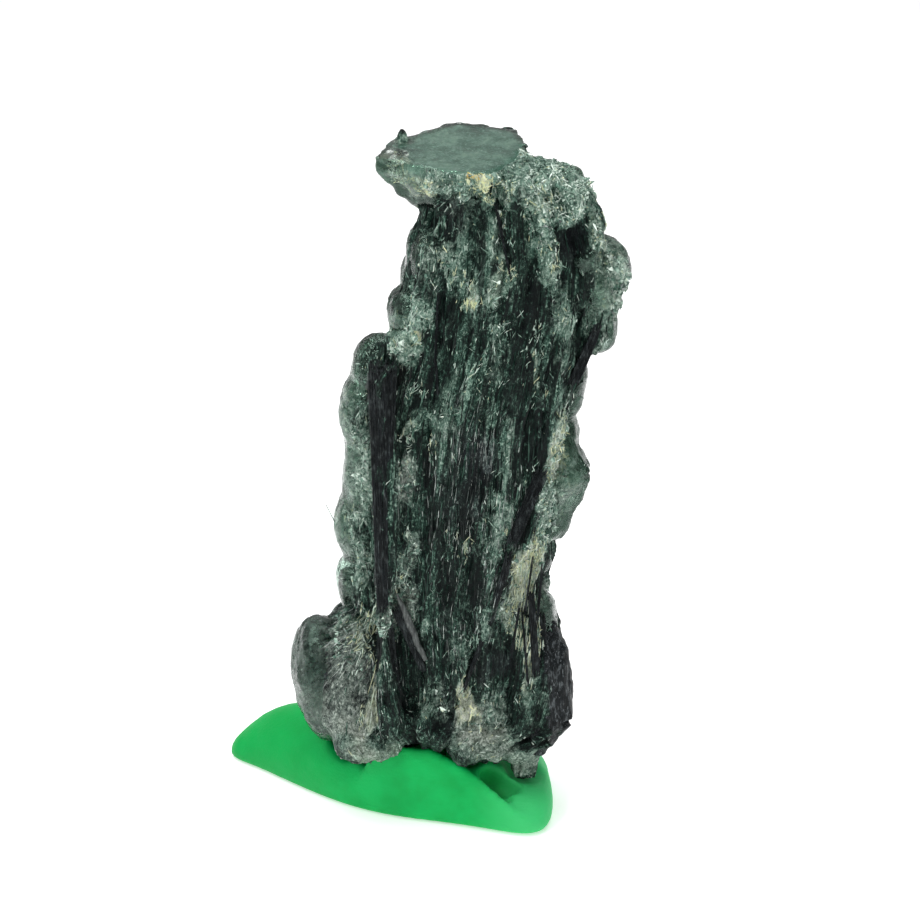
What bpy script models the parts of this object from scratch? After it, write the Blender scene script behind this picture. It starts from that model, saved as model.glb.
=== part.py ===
"""A dark green apatite specimen, grown together from many crystals, standing in a lump of display putty.

The specimen is one piece: a ribbed trunk of parallel needles, two feet, a tabular crystal on top, and the
domes, knobs and black blades that grew on its sides. The putty is the second piece. The trunk and the putty
are cages extruded from station to station and subdivided. Every other crystal is a primitive, and Booleans
join the crystals and press them into the putty.

The tables are in millimetres, from a corner where z = 0 is the table top and y = 0 runs through the middle of
the trunk. MIDDLE then brings the middle of the object over the origin.
"""

import math
import random

import bmesh
import bpy
from mathutils import Matrix, Vector

MM = 0.001
MIDDLE = (-0.2, 1.95)  # x and y of the middle of the object's box, in the tables' frame
GAP = 0.3  # between the specimen and the putty pressed round it
SEED = 11

TRUNK_SIDES = 16
RIB_LOW, RIB_HIGH = 0.86, 1.07  # how far the trunk's ribs stand in and out of its oval section

# Trunk stations, from the ground up: height, centre x, centre y, half width, half depth
TRUNK = [
    (6.4, 2.2, 0.4, 3.8, 3.0),
    (8.6, 2.8, 0.2, 5.8, 4.4),
    (13.0, 3.2, 0.0, 6.5, 4.9),
    (18.0, 3.0, 0.0, 6.8, 5.1),
    (23.0, 3.8, 0.0, 7.6, 5.4),
    (28.0, 4.2, 0.0, 8.0, 5.6),
    (33.0, 4.5, 0.0, 7.8, 5.6),
    (37.5, 5.5, 0.1, 7.5, 5.5),
    (41.5, 6.1, 0.2, 7.5, 5.4),
    (45.0, 6.6, 0.4, 7.0, 5.2),
    (48.0, 6.5, 0.6, 6.2, 4.6),
    (50.3, 6.2, 0.8, 4.6, 3.6),
]

# Rounded crystals: name, centre, radii, turn about y in degrees, fineness of the ball
ROUNDED = [
    ("foot_left", (-4.8, 1.0, 9.9), (4.8, 4.7, 6.4), -6, 3),
    ("foot_left_shoulder", (-5.7, 1.2, 12.6), (3.6, 3.6, 3.5), 0, 2),
    ("foot_left_toe", (-2.9, -0.6, 7.0), (2.8, 3.0, 3.4), 0, 2),
    ("foot_middle", (4.3, -1.9, 8.4), (3.0, 3.0, 4.2), 8, 2),
    ("foot_back", (2.2, 3.4, 7.4), (4.6, 3.0, 4.2), 0, 2),
    ("dome_left_top", (-2.7, 0.6, 35.4), (2.1, 2.4, 2.7), 10, 2),
    ("dome_left_high", (-3.2, 0.6, 31.9), (2.5, 2.9, 3.5), 4, 2),
    ("dome_left_middle", (-3.5, 1.0, 27.3), (2.0, 2.5, 2.4), 0, 2),
    ("dome_left_low", (-3.8, 0.8, 22.9), (2.5, 2.9, 3.4), 2, 2),
    ("dome_left_waist", (-3.8, 1.0, 18.1), (2.4, 2.8, 3.0), -4, 2),
    ("bulge_upper_left", (0.2, -0.4, 39.9), (2.0, 3.0, 2.3), 0, 2),
    ("bulge_neck", (1.4, 0.0, 44.0), (2.0, 3.2, 3.4), -8, 2),
    ("shoulder", (9.9, 0.0, 47.3), (3.2, 3.6, 3.3), 30, 2),
    ("shoulder_knob", (11.0, -0.4, 50.0), (0.75, 0.8, 0.75), 0, 2),
    ("shoulder_knob_inner", (9.6, 0.2, 50.7), (0.7, 0.8, 0.6), 0, 1),
    ("shoulder_knob_outer", (11.7, 0.4, 48.9), (0.8, 0.9, 0.8), 0, 1),
    ("top_knob", (-0.9, 2.4, 52.1), (0.5, 0.5, 0.7), 0, 1),
    ("lump_right_top", (13.4, -0.6, 43.2), (1.9, 2.3, 2.2), 0, 2),
    ("lump_right_low", (12.8, -1.2, 38.5), (1.5, 1.8, 1.6), 0, 2),
    ("lump_right_middle", (10.9, -0.4, 34.6), (1.4, 2.6, 3.2), 6, 2),
    ("lump_right_hip", (10.5, -0.2, 30.8), (1.4, 2.4, 2.2), 0, 2),
    ("glass_right_waist", (9.4, -0.8, 23.9), (1.7, 2.2, 1.7), 0, 2),
    ("glass_right_low", (8.5, -0.6, 20.7), (1.5, 2.0, 1.8), 0, 2),
    ("back_dome_low", (6.4, 4.2, 16.5), (3.2, 2.4, 3.8), 6, 2),
    ("back_dome_middle", (0.4, 4.4, 24.5), (3.0, 2.3, 4.4), -6, 2),
    ("back_dome_high", (8.0, 4.3, 31.5), (3.1, 2.3, 4.0), 8, 2),
    ("back_dome_top", (3.2, 4.2, 39.0), (2.8, 2.2, 3.8), 0, 2),
    ("back_knob", (9.2, 4.0, 43.0), (2.0, 1.9, 2.3), 0, 2),
]
FACET = 0.05  # how far a corner of a rounded crystal stands in or out, as a part of its radius

# Six-sided crystals: name, foot, head, radius at the foot and at the head, depth over width, roll in degrees
PRISMS = [
    ("foot_right", (8.2, -1.2, 7.0), (8.3, -1.1, 14.8), 3.5, 3.4, 0.95, 5),
    ("foot_right_tip", (8.5, -1.4, 2.8), (8.2, -1.2, 7.2), 1.2, 3.5, 0.95, 5),
    ("foot_right_top", (8.3, -1.1, 14.6), (7.6, -0.6, 18.2), 3.4, 2.0, 0.95, 5),
    ("point_right", (9.2, -0.5, 24.6), (12.3, -0.5, 28.4), 2.6, 1.0, 1.1, 0),
    ("glass_right_high", (12.4, -1.0, 42.6), (13.0, -1.4, 38.6), 1.8, 1.4, 1.1, 20),
    ("blade_left", (-2.3, -4.2, 17.0), (-2.3, -3.8, 37.2), 1.0, 1.2, 0.9, 0),
    ("blade_left_fan", (-2.3, -4.1, 19.0), (-1.6, -3.6, 8.0), 1.0, 2.2, 0.5, 0),
    ("blade_right_slant", (6.4, -4.9, 20.6), (9.4, -4.0, 29.0), 0.8, 0.9, 0.7, 0),
    ("blade_right_thread", (1.8, -4.4, 9.8), (6.5, -4.9, 21.0), 0.5, 0.5, 0.9, 0),
    ("blade_foot_right", (8.7, -4.0, 6.4), (8.3, -3.7, 18.0), 2.0, 1.2, 0.55, 0),
    ("blade_shoulder", (11.0, -2.8, 34.6), (14.0, -1.6, 39.8), 0.7, 0.7, 0.8, 0),
    ("blade_back_left", (-2.6, 3.4, 12.0), (-1.6, 4.0, 33.0), 0.9, 0.8, 0.8, 0),
    ("blade_back_long", (4.4, 5.2, 10.5), (5.2, 5.4, 34.0), 0.9, 0.9, 0.7, 0),
    ("blade_back_short", (9.2, 4.4, 20.0), (10.4, 3.8, 31.0), 0.8, 0.7, 0.8, 0),
]
PRISM_SIDES = 6

# The tabular crystal on top: the corners of its rim, x and y, counterclockwise
TABLE_RIM = [
    (-2.6, -0.9),
    (1.4, -3.3),
    (5.1, -4.3),
    (7.4, -1.4),
    (7.8, 1.8),
    (6.6, 4.6),
    (3.0, 5.7),
    (-1.3, 2.2),
]
TABLE_MIDDLE = (4.2, 0.6)
TABLE_HEIGHT, TABLE_RISE = 51.5, 0.14  # height of its face at y = 0, and how much it rises with y
TABLE_RINGS = [(6.6, 0.42), (4.1, 0.6), (3.0, 0.77), (1.1, 0.98), (0.0, 1.0)]  # below the rim, share of its size

IN_PUTTY = ("foot_left", "foot_left_toe", "foot_middle", "foot_back", "foot_right_tip", "foot_right")

PUTTY_SIDES = 12
PUTTY_MIDDLE = 0.2  # height of the widest line of the putty's section, as a part of its height
# Putty stations, from the thin tongue at the left to the blunt right end: x, front y, back y, height
PUTTY = [
    (-15.7, 5.7, 7.8, 1.0),
    (-13.4, 4.2, 9.8, 2.9),
    (-10.8, 1.9, 10.2, 4.7),
    (-7.2, -1.1, 9.6, 5.7),
    (-3.6, -3.2, 9.0, 5.9),
    (0.0, -4.2, 8.6, 6.7),
    (3.4, -4.9, 8.0, 6.0),
    (6.4, -5.9, 7.2, 4.3),
    (8.8, -6.5, 5.8, 3.3),
    (10.5, -4.8, 3.4, 2.5),
]
# The fold that the thumb left in front of the right foot: centre, radii, turn about z in degrees
FOLD = ((6.1, -3.1, 3.0), (1.9, 0.8, 1.5), -20)

SUBDIVISIONS = {"trunk": 1, "putty": 2}
COLOURS = {
    "crystal": ("apatite_dark_green", (0.045, 0.075, 0.055), 0.35),
    "putty": ("putty_green", (0.015, 0.36, 0.085), 0.5),
}


def clear_scene():
    for obj in list(bpy.data.objects):
        bpy.data.objects.remove(obj)


def new_collection(name):
    made = bpy.data.collections.new(name)
    bpy.context.scene.collection.children.link(made)
    return made


def new_material(name, colour, roughness):
    material = bpy.data.materials.new(name)
    material.use_nodes = True
    shader = material.node_tree.nodes["Principled BSDF"]
    shader.inputs["Base Color"].default_value = (*colour, 1.0)
    shader.inputs["Roughness"].default_value = roughness
    shader.inputs["Metallic"].default_value = 0.0
    return material


def place(bm, name, home):
    """Puts a finished mesh, in the tables' millimetres, into the scene in metres."""
    bmesh.ops.recalc_face_normals(bm, faces=bm.faces)
    bmesh.ops.translate(bm, vec=(-MIDDLE[0], -MIDDLE[1], 0.0), verts=bm.verts)
    bmesh.ops.scale(bm, vec=(MM, MM, MM), verts=bm.verts)
    mesh = bpy.data.meshes.new(name)
    bm.to_mesh(mesh)
    bm.free()
    obj = bpy.data.objects.new(name, mesh)
    home.objects.link(obj)
    return obj


def hide(obj):
    """Marks an object that only cuts or joins another."""
    obj.hide_render = True
    obj.display_type = "WIRE"


def loft(sides, shapes):
    """A closed cage through a list of rings. Each ring is a function from a side's angle to its corner."""
    bm = bmesh.new()
    bmesh.ops.create_circle(bm, cap_ends=True, segments=sides, radius=1.0)
    face = bm.faces[:][0]
    for level, shape in enumerate(shapes):
        if level:
            inner = [face] if level > 1 else []  # the first cap stays and closes the foot
            grown = bmesh.ops.extrude_face_region(bm, geom=[face])["geom"]
            face = next(item for item in grown if isinstance(item, bmesh.types.BMFace))
            bmesh.ops.delete(bm, geom=inner, context="FACES_ONLY")
        for side, loop in enumerate(face.loops):
            loop.vert.co = shape(2.0 * math.pi * side / sides, side)
    return bm


def trunk(home):
    """The trunk of needles: an oval section whose ribs keep their places all the way up."""
    rng = random.Random(SEED)
    ribs = [rng.uniform(RIB_LOW, RIB_HIGH) for _ in range(TRUNK_SIDES)]

    def ring(station):
        height, centre_x, centre_y, half_width, half_depth = station

        def corner(angle, side):
            across = centre_x + half_width * ribs[side] * math.cos(angle)
            return Vector((across, centre_y + half_depth * ribs[side] * math.sin(angle), height))

        return corner

    obj = place(loft(TRUNK_SIDES, [ring(station) for station in TRUNK]), "crystal_cluster", home)
    subdivide(obj, SUBDIVISIONS["trunk"])
    return obj


def subdivide(obj, levels):
    modifier = obj.modifiers.new("Soften", "SUBSURF")
    modifier.levels = levels
    modifier.render_levels = levels


def rounded(row, home, grow=0.0):
    """A rounded crystal: a ball whose corners stand in and out a little, stretched and turned."""
    name, centre, radii, turn, fineness = row
    rng = random.Random(name)
    bm = bmesh.new()
    bmesh.ops.create_icosphere(bm, subdivisions=fineness, radius=1.0)
    for vert in bm.verts:
        vert.co *= 1.0 + rng.uniform(-FACET, FACET)
    bmesh.ops.scale(bm, vec=[radius + grow for radius in radii], verts=bm.verts)
    turned = Matrix.Translation(centre) @ Matrix.Rotation(math.radians(turn), 4, "Y")
    bmesh.ops.transform(bm, matrix=turned, verts=bm.verts)
    obj = place(bm, name, home)
    hide(obj)
    return obj


def prism(row, home, grow=0.0):
    """A six-sided crystal that runs from its foot to its head."""
    name, foot, head, radius_foot, radius_head, depth, roll = row
    foot, head = Vector(foot), Vector(head)
    along = head - foot
    bm = bmesh.new()
    bmesh.ops.create_cone(
        bm, cap_ends=True, segments=PRISM_SIDES, radius1=radius_foot + grow, radius2=radius_head + grow,
        depth=along.length + 2.0 * grow)
    bmesh.ops.rotate(bm, cent=(0, 0, 0), matrix=Matrix.Rotation(math.radians(roll), 3, "Z"), verts=bm.verts)
    bmesh.ops.scale(bm, vec=(1.0, depth, 1.0), verts=bm.verts)
    lean = Vector((0, 0, 1)).rotation_difference(along).to_matrix().to_4x4()
    bmesh.ops.transform(bm, matrix=Matrix.Translation((foot + head) / 2) @ lean, verts=bm.verts)
    obj = place(bm, name, home)
    hide(obj)
    return obj


def table(home):
    """The tabular crystal on top, whose sides draw in to a root in the trunk."""
    def ring(below, share):
        def corner(_angle, side):
            x, y = TABLE_RIM[side]
            across = TABLE_MIDDLE[0] + (x - TABLE_MIDDLE[0]) * share
            through = TABLE_MIDDLE[1] + (y - TABLE_MIDDLE[1]) * share
            return Vector((across, through, TABLE_HEIGHT + TABLE_RISE * y - below))

        return corner

    hide(place(loft(len(TABLE_RIM), [ring(*row) for row in TABLE_RINGS]), "top_table", home))


def boolean(obj, operation, operand):
    """Joins or cuts an object with another object or with all of a collection."""
    modifier = obj.modifiers.new(operation.title(), "BOOLEAN")
    modifier.operation = operation
    modifier.solver = "EXACT"
    if isinstance(operand, bpy.types.Collection):
        modifier.operand_type = "COLLECTION"
        modifier.collection = operand
    else:
        modifier.object = operand


def specimen(home, joined):
    """The crystals that grew together, as one solid."""
    body = trunk(home)
    for row in ROUNDED:
        rounded(row, joined)
    for row in PRISMS:
        prism(row, joined)
    table(joined)
    boolean(body, "UNION", joined)
    body.data.materials.append(new_material(*COLOURS["crystal"]))
    return body


def ground_cutter(home):
    """A block from the table top down."""
    size = 60.0
    bm = bmesh.new()
    bmesh.ops.create_cube(bm, size=size)
    bmesh.ops.translate(bm, vec=(0, 0, -size / 2), verts=bm.verts)
    obj = place(bm, "below_ground", home)
    hide(obj)
    return obj


def fold_cutter(home):
    centre, radii, turn = FOLD
    bm = bmesh.new()
    bmesh.ops.create_icosphere(bm, subdivisions=3, radius=1.0)
    bmesh.ops.scale(bm, vec=radii, verts=bm.verts)
    turned = Matrix.Translation(centre) @ Matrix.Rotation(math.radians(turn), 4, "Z")
    bmesh.ops.transform(bm, matrix=turned, verts=bm.verts)
    obj = place(bm, "fold", home)
    hide(obj)
    return obj


def putty(home, cutters):
    """The lump of putty: a soft bar along x, flat underneath, with the feet of the specimen pressed in."""
    def ring(station):
        x, front, back, height = station

        def corner(angle, _side):
            y = (front + back) / 2 - (back - front) / 2 * math.cos(angle)
            return Vector((x, y, height * (PUTTY_MIDDLE + (1.0 - PUTTY_MIDDLE) * math.sin(angle))))

        return corner

    obj = place(loft(PUTTY_SIDES, [ring(station) for station in PUTTY]), "putty_base", home)
    subdivide(obj, SUBDIVISIONS["putty"])
    ground_cutter(cutters)
    fold_cutter(cutters)
    for row in ROUNDED:
        if row[0] in IN_PUTTY:
            rounded(row, cutters, GAP)
    for row in PRISMS:
        if row[0] in IN_PUTTY:
            prism(row, cutters, GAP)
    boolean(obj, "DIFFERENCE", cutters)
    obj.data.materials.append(new_material(*COLOURS["putty"]))
    return obj


def main():
    clear_scene()
    parts = new_collection("apatite_crystal")
    specimen(parts, new_collection("joined_crystals"))
    putty(parts, new_collection("cutters"))


main()
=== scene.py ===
"""The looks of a dark green apatite specimen that stands in a lump of display putty.

Places and sizes are millimetres in the drawing frame, where z = 0 is the table top and the trunk stands over
x = 3. Each piece is modelled in that frame, and finish_piece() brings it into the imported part's frame.
"""

import math

import bpy
import numpy as np
from mathutils import Matrix, Vector, noise
from mathutils.bvhtree import BVHTree


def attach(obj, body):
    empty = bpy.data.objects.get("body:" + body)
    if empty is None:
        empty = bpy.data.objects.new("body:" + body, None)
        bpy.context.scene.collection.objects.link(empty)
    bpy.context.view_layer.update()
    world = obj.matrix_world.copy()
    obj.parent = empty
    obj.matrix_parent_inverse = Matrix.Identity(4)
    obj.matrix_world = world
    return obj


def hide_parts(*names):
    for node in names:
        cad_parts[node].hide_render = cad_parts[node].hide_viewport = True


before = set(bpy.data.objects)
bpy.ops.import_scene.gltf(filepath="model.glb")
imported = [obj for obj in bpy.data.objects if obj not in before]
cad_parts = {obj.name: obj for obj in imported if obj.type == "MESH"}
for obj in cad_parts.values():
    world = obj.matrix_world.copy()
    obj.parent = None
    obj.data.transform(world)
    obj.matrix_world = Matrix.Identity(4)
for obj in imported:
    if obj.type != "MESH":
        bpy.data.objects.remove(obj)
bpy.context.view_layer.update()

MM = 0.001
MIDDLE = Vector((-0.2, 1.95, 0.0))  # the middle of the object's box, in the drawing frame

# Trunk stations, as the solid has them: height, centre x, centre y, half width, half depth
TRUNK = np.array([
    (6.4, 2.2, 0.4, 3.8, 3.0),
    (8.6, 2.8, 0.2, 5.8, 4.4),
    (13.0, 3.2, 0.0, 6.5, 4.9),
    (18.0, 3.2, 0.0, 7.0, 5.1),
    (23.0, 3.8, 0.0, 7.6, 5.4),
    (28.0, 4.2, 0.0, 8.0, 5.6),
    (33.0, 4.5, 0.0, 7.8, 5.6),
    (37.5, 5.5, 0.1, 7.5, 5.5),
    (41.5, 6.1, 0.2, 7.5, 5.4),
    (45.0, 6.6, 0.4, 7.0, 5.2),
    (48.0, 6.5, 0.6, 6.2, 4.6),
    (50.3, 6.2, 0.8, 4.6, 3.6),
])
MEAN_WIDTH, MEAN_DEPTH = 7.0, 5.2

# Clear rounded crystals: centre, radii, turn about y in degrees
DOMES_LEFT = [
    ((-2.65, 0.6, 35.3), (2.1, 2.4, 2.65), 6),
    ((-3.2, 0.6, 31.9), (2.5, 2.9, 3.5), 4),
    ((-3.5, 1.0, 27.3), (2.0, 2.5, 2.4), 0),
    ((-3.8, 0.8, 22.9), (2.5, 2.9, 3.4), 2),
    ((-3.8, 1.0, 18.1), (2.4, 2.8, 3.0), -4),
]
DOMES_UPPER_LEFT = [
    ((0.0, -0.4, 39.8), (2.0, 3.0, 2.3), 0),
    ((1.35, 0.0, 43.8), (2.0, 3.2, 3.2), 6),
]
DOMES_RIGHT = [
    ((9.4, -0.8, 23.9), (1.7, 2.2, 1.7), 0),
    ((8.5, -0.6, 20.7), (1.5, 2.0, 1.8), 0),
    ((10.5, -0.2, 30.8), (1.4, 2.4, 2.2), 0),
    ((9.3, -1.6, 16.7), (1.1, 2.2, 2.6), -12),
    ((10.9, -0.4, 34.6), (1.4, 2.6, 3.2), 6),
]
DOMES_UPPER_RIGHT = [
    ((13.35, -0.6, 43.5), (1.8, 2.3, 2.05), 0),
    ((13.0, -1.6, 38.5), (1.15, 1.6, 1.2), 0),
    ((11.0, -0.6, 49.8), (0.8, 0.9, 0.8), 0),
    ((11.3, 0.2, 48.9), (0.8, 0.9, 0.8), 0),
]
DOMES_BACK = [
    ((6.4, 4.2, 16.5), (3.2, 2.4, 3.8), 6),
    ((0.4, 4.4, 24.5), (3.0, 2.3, 4.4), -6),
    ((8.0, 4.3, 31.5), (3.1, 2.3, 4.0), 8),
    ((3.2, 4.2, 39.0), (2.8, 2.2, 3.8), 0),
    ((9.2, 4.0, 43.0), (2.0, 1.9, 2.3), 0),
]
LUMPS = [  # smaller clear crystals grown against the others on the sides and the back
    ((8.9, 4.0, 20.6), (1.9, 1.7, 2.3), 10), ((3.6, 4.9, 13.6), (2.2, 1.4, 2.0), -12),
    ((5.3, 4.6, 27.9), (1.9, 1.5, 2.6), 14), ((-1.7, 3.0, 28.9), (1.7, 1.9, 2.6), -8),
    ((2.7, 4.9, 20.3), (1.6, 1.3, 2.3), 20), ((0.5, 3.4, 35.0), (2.2, 1.9, 2.5), -10),
    ((10.1, 3.0, 35.9), (1.6, 1.7, 2.6), 8), ((6.4, 5.0, 36.4), (1.9, 1.2, 2.6), -14),
    ((6.4, 4.6, 44.4), (2.6, 1.6, 2.1), 25), ((2.4, 3.7, 44.8), (1.9, 1.7, 2.1), -10),
    ((-4.6, 3.4, 12.6), (2.6, 2.3, 3.2), 8), ((9.2, 2.0, 12.4), (2.0, 1.9, 2.9), -6),
    ((9.4, 2.6, 25.9), (1.5, 1.9, 2.7), 6), ((9.7, 2.5, 30.6), (1.6, 1.9, 2.3), -6),
    ((11.0, 2.2, 40.6), (2.0, 1.8, 2.6), 12), ((8.3, 2.6, 16.8), (1.6, 1.8, 2.5), 0),
    ((-2.5, 3.1, 33.3), (1.7, 1.9, 2.5), 10), ((-2.8, 3.3, 21.6), (1.8, 1.7, 2.8), -8),
    ((0.7, 2.5, 41.4), (1.8, 1.9, 2.8), 8), ((8.7, 3.6, 38.6), (1.8, 1.6, 2.2), -16),
]
DOME_FOOT = [((-7.3, 0.6, 10.3), (2.35, 3.5, 5.15), -6)]
BASES = [  # the rounded pale ends of the feet, part of the body
    ((-4.5, -1.9, 6.6), (2.1, 2.7, 2.0)),
    ((-3.1, -1.9, 6.7), (2.1, 2.7, 1.9)),
    ((3.7, -2.8, 6.8), (1.6, 2.3, 2.2)),
    ((5.8, -2.8, 6.7), (1.4, 2.2, 1.7)),
    ((7.7, -2.7, 5.9), (1.5, 1.9, 1.5)),
]
TOE = (8.2, -1.6)  # the middle of the right foot's tip, seen from above
# Clear crystal that fills the waists between the domes
WEBS_LEFT = [((-3.1, 0.7, 27.2), (2.3, 3.0, 10.8), 2)]
WEBS_RIGHT = [((8.9, -0.6, 28.6), (2.2, 2.4, 9.4), 9)]
DRAWN_IN = [  # where the body draws in under a clear crystal: centre, radii, how much of it is left
    ((10.3, -0.6, 27.4), (2.4, 2.7, 4.2), 0.80),
    ((13.0, -1.4, 38.2), (1.7, 2.4, 2.4), 0.60),
    ((10.6, -1.6, 8.0), (2.4, 3.8, 3.8), 0.78),
    ((12.4, -0.6, 49.0), (1.4, 2.6, 1.3), 0.82),
    ((10.9, -1.8, 17.4), (2.0, 3.4, 3.8), 0.84),
]
CORE_SHARE = 0.86  # how large the mossy core inside a clear crystal is
THIN_CORE_SHARE = 0.90  # and where the clear skin is thin
FILLS = [  # crystal that closes the gaps which the solid leaves: centre, radii
    ((1.2, -1.5, 8.2), (3.5, 3.1, 2.6)),
    ((10.2, -0.8, 28.0), (1.9, 2.1, 3.8)),
    ((-2.8, 0.6, 27.0), (2.0, 2.6, 9.6)),
    ((9.0, -0.6, 28.0), (2.0, 2.4, 8.8)),
    ((8.5, -0.2, 49.7), (2.2, 3.3, 1.6)),
    ((7.3, -2.5, 49.5), (1.4, 1.9, 1.5)),
    ((12.0, -0.9, 43.2), (1.7, 2.9, 4.0)),
    ((12.0, -0.9, 46.3), (1.2, 2.2, 1.7)),
    ((-1.0, -2.5, 22.6), (1.5, 2.1, 3.2)),
    ((0.9, -0.6, 42.0), (1.8, 3.0, 5.2)),
    ((-0.7, -1.7, 38.2), (1.5, 2.0, 1.6)),
]
BALL_FINENESS = 3
BODY_VOXEL, CLEAR_VOXEL, PUTTY_VOXEL = 0.21, 0.18, 0.24
CLEAR_GROW = 0.06  # how far a clear crystal's skin stands out of the solid's

# The tabular crystal on top: its rim, middle, height and rise, and the rings below, as depth and size
TABLE_RIM = [
    (-2.8, -0.9), (1.4, -3.3), (5.1, -4.3), (7.4, -1.4), (7.8, 1.8), (7.2, 4.3), (3.0, 6.0), (-1.7, 2.2)]
TABLE_MIDDLE = (4.2, 0.6)
TABLE_HEIGHT, TABLE_RISE = 51.5, 0.14
TABLE_INSET = [1.0, 0.96, 0.90, 0.84, 0.98, 1.0, 1.0, 1.0]  # where crust covers the clear crystal's edge
TABLE_KNOB = (-0.9, 2.4, 52.1)
TABLE_RINGS = [(6.6, 0.42), (4.1, 0.54), (3.0, 0.72), (1.1, 0.97), (0.0, 1.0)]

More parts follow.
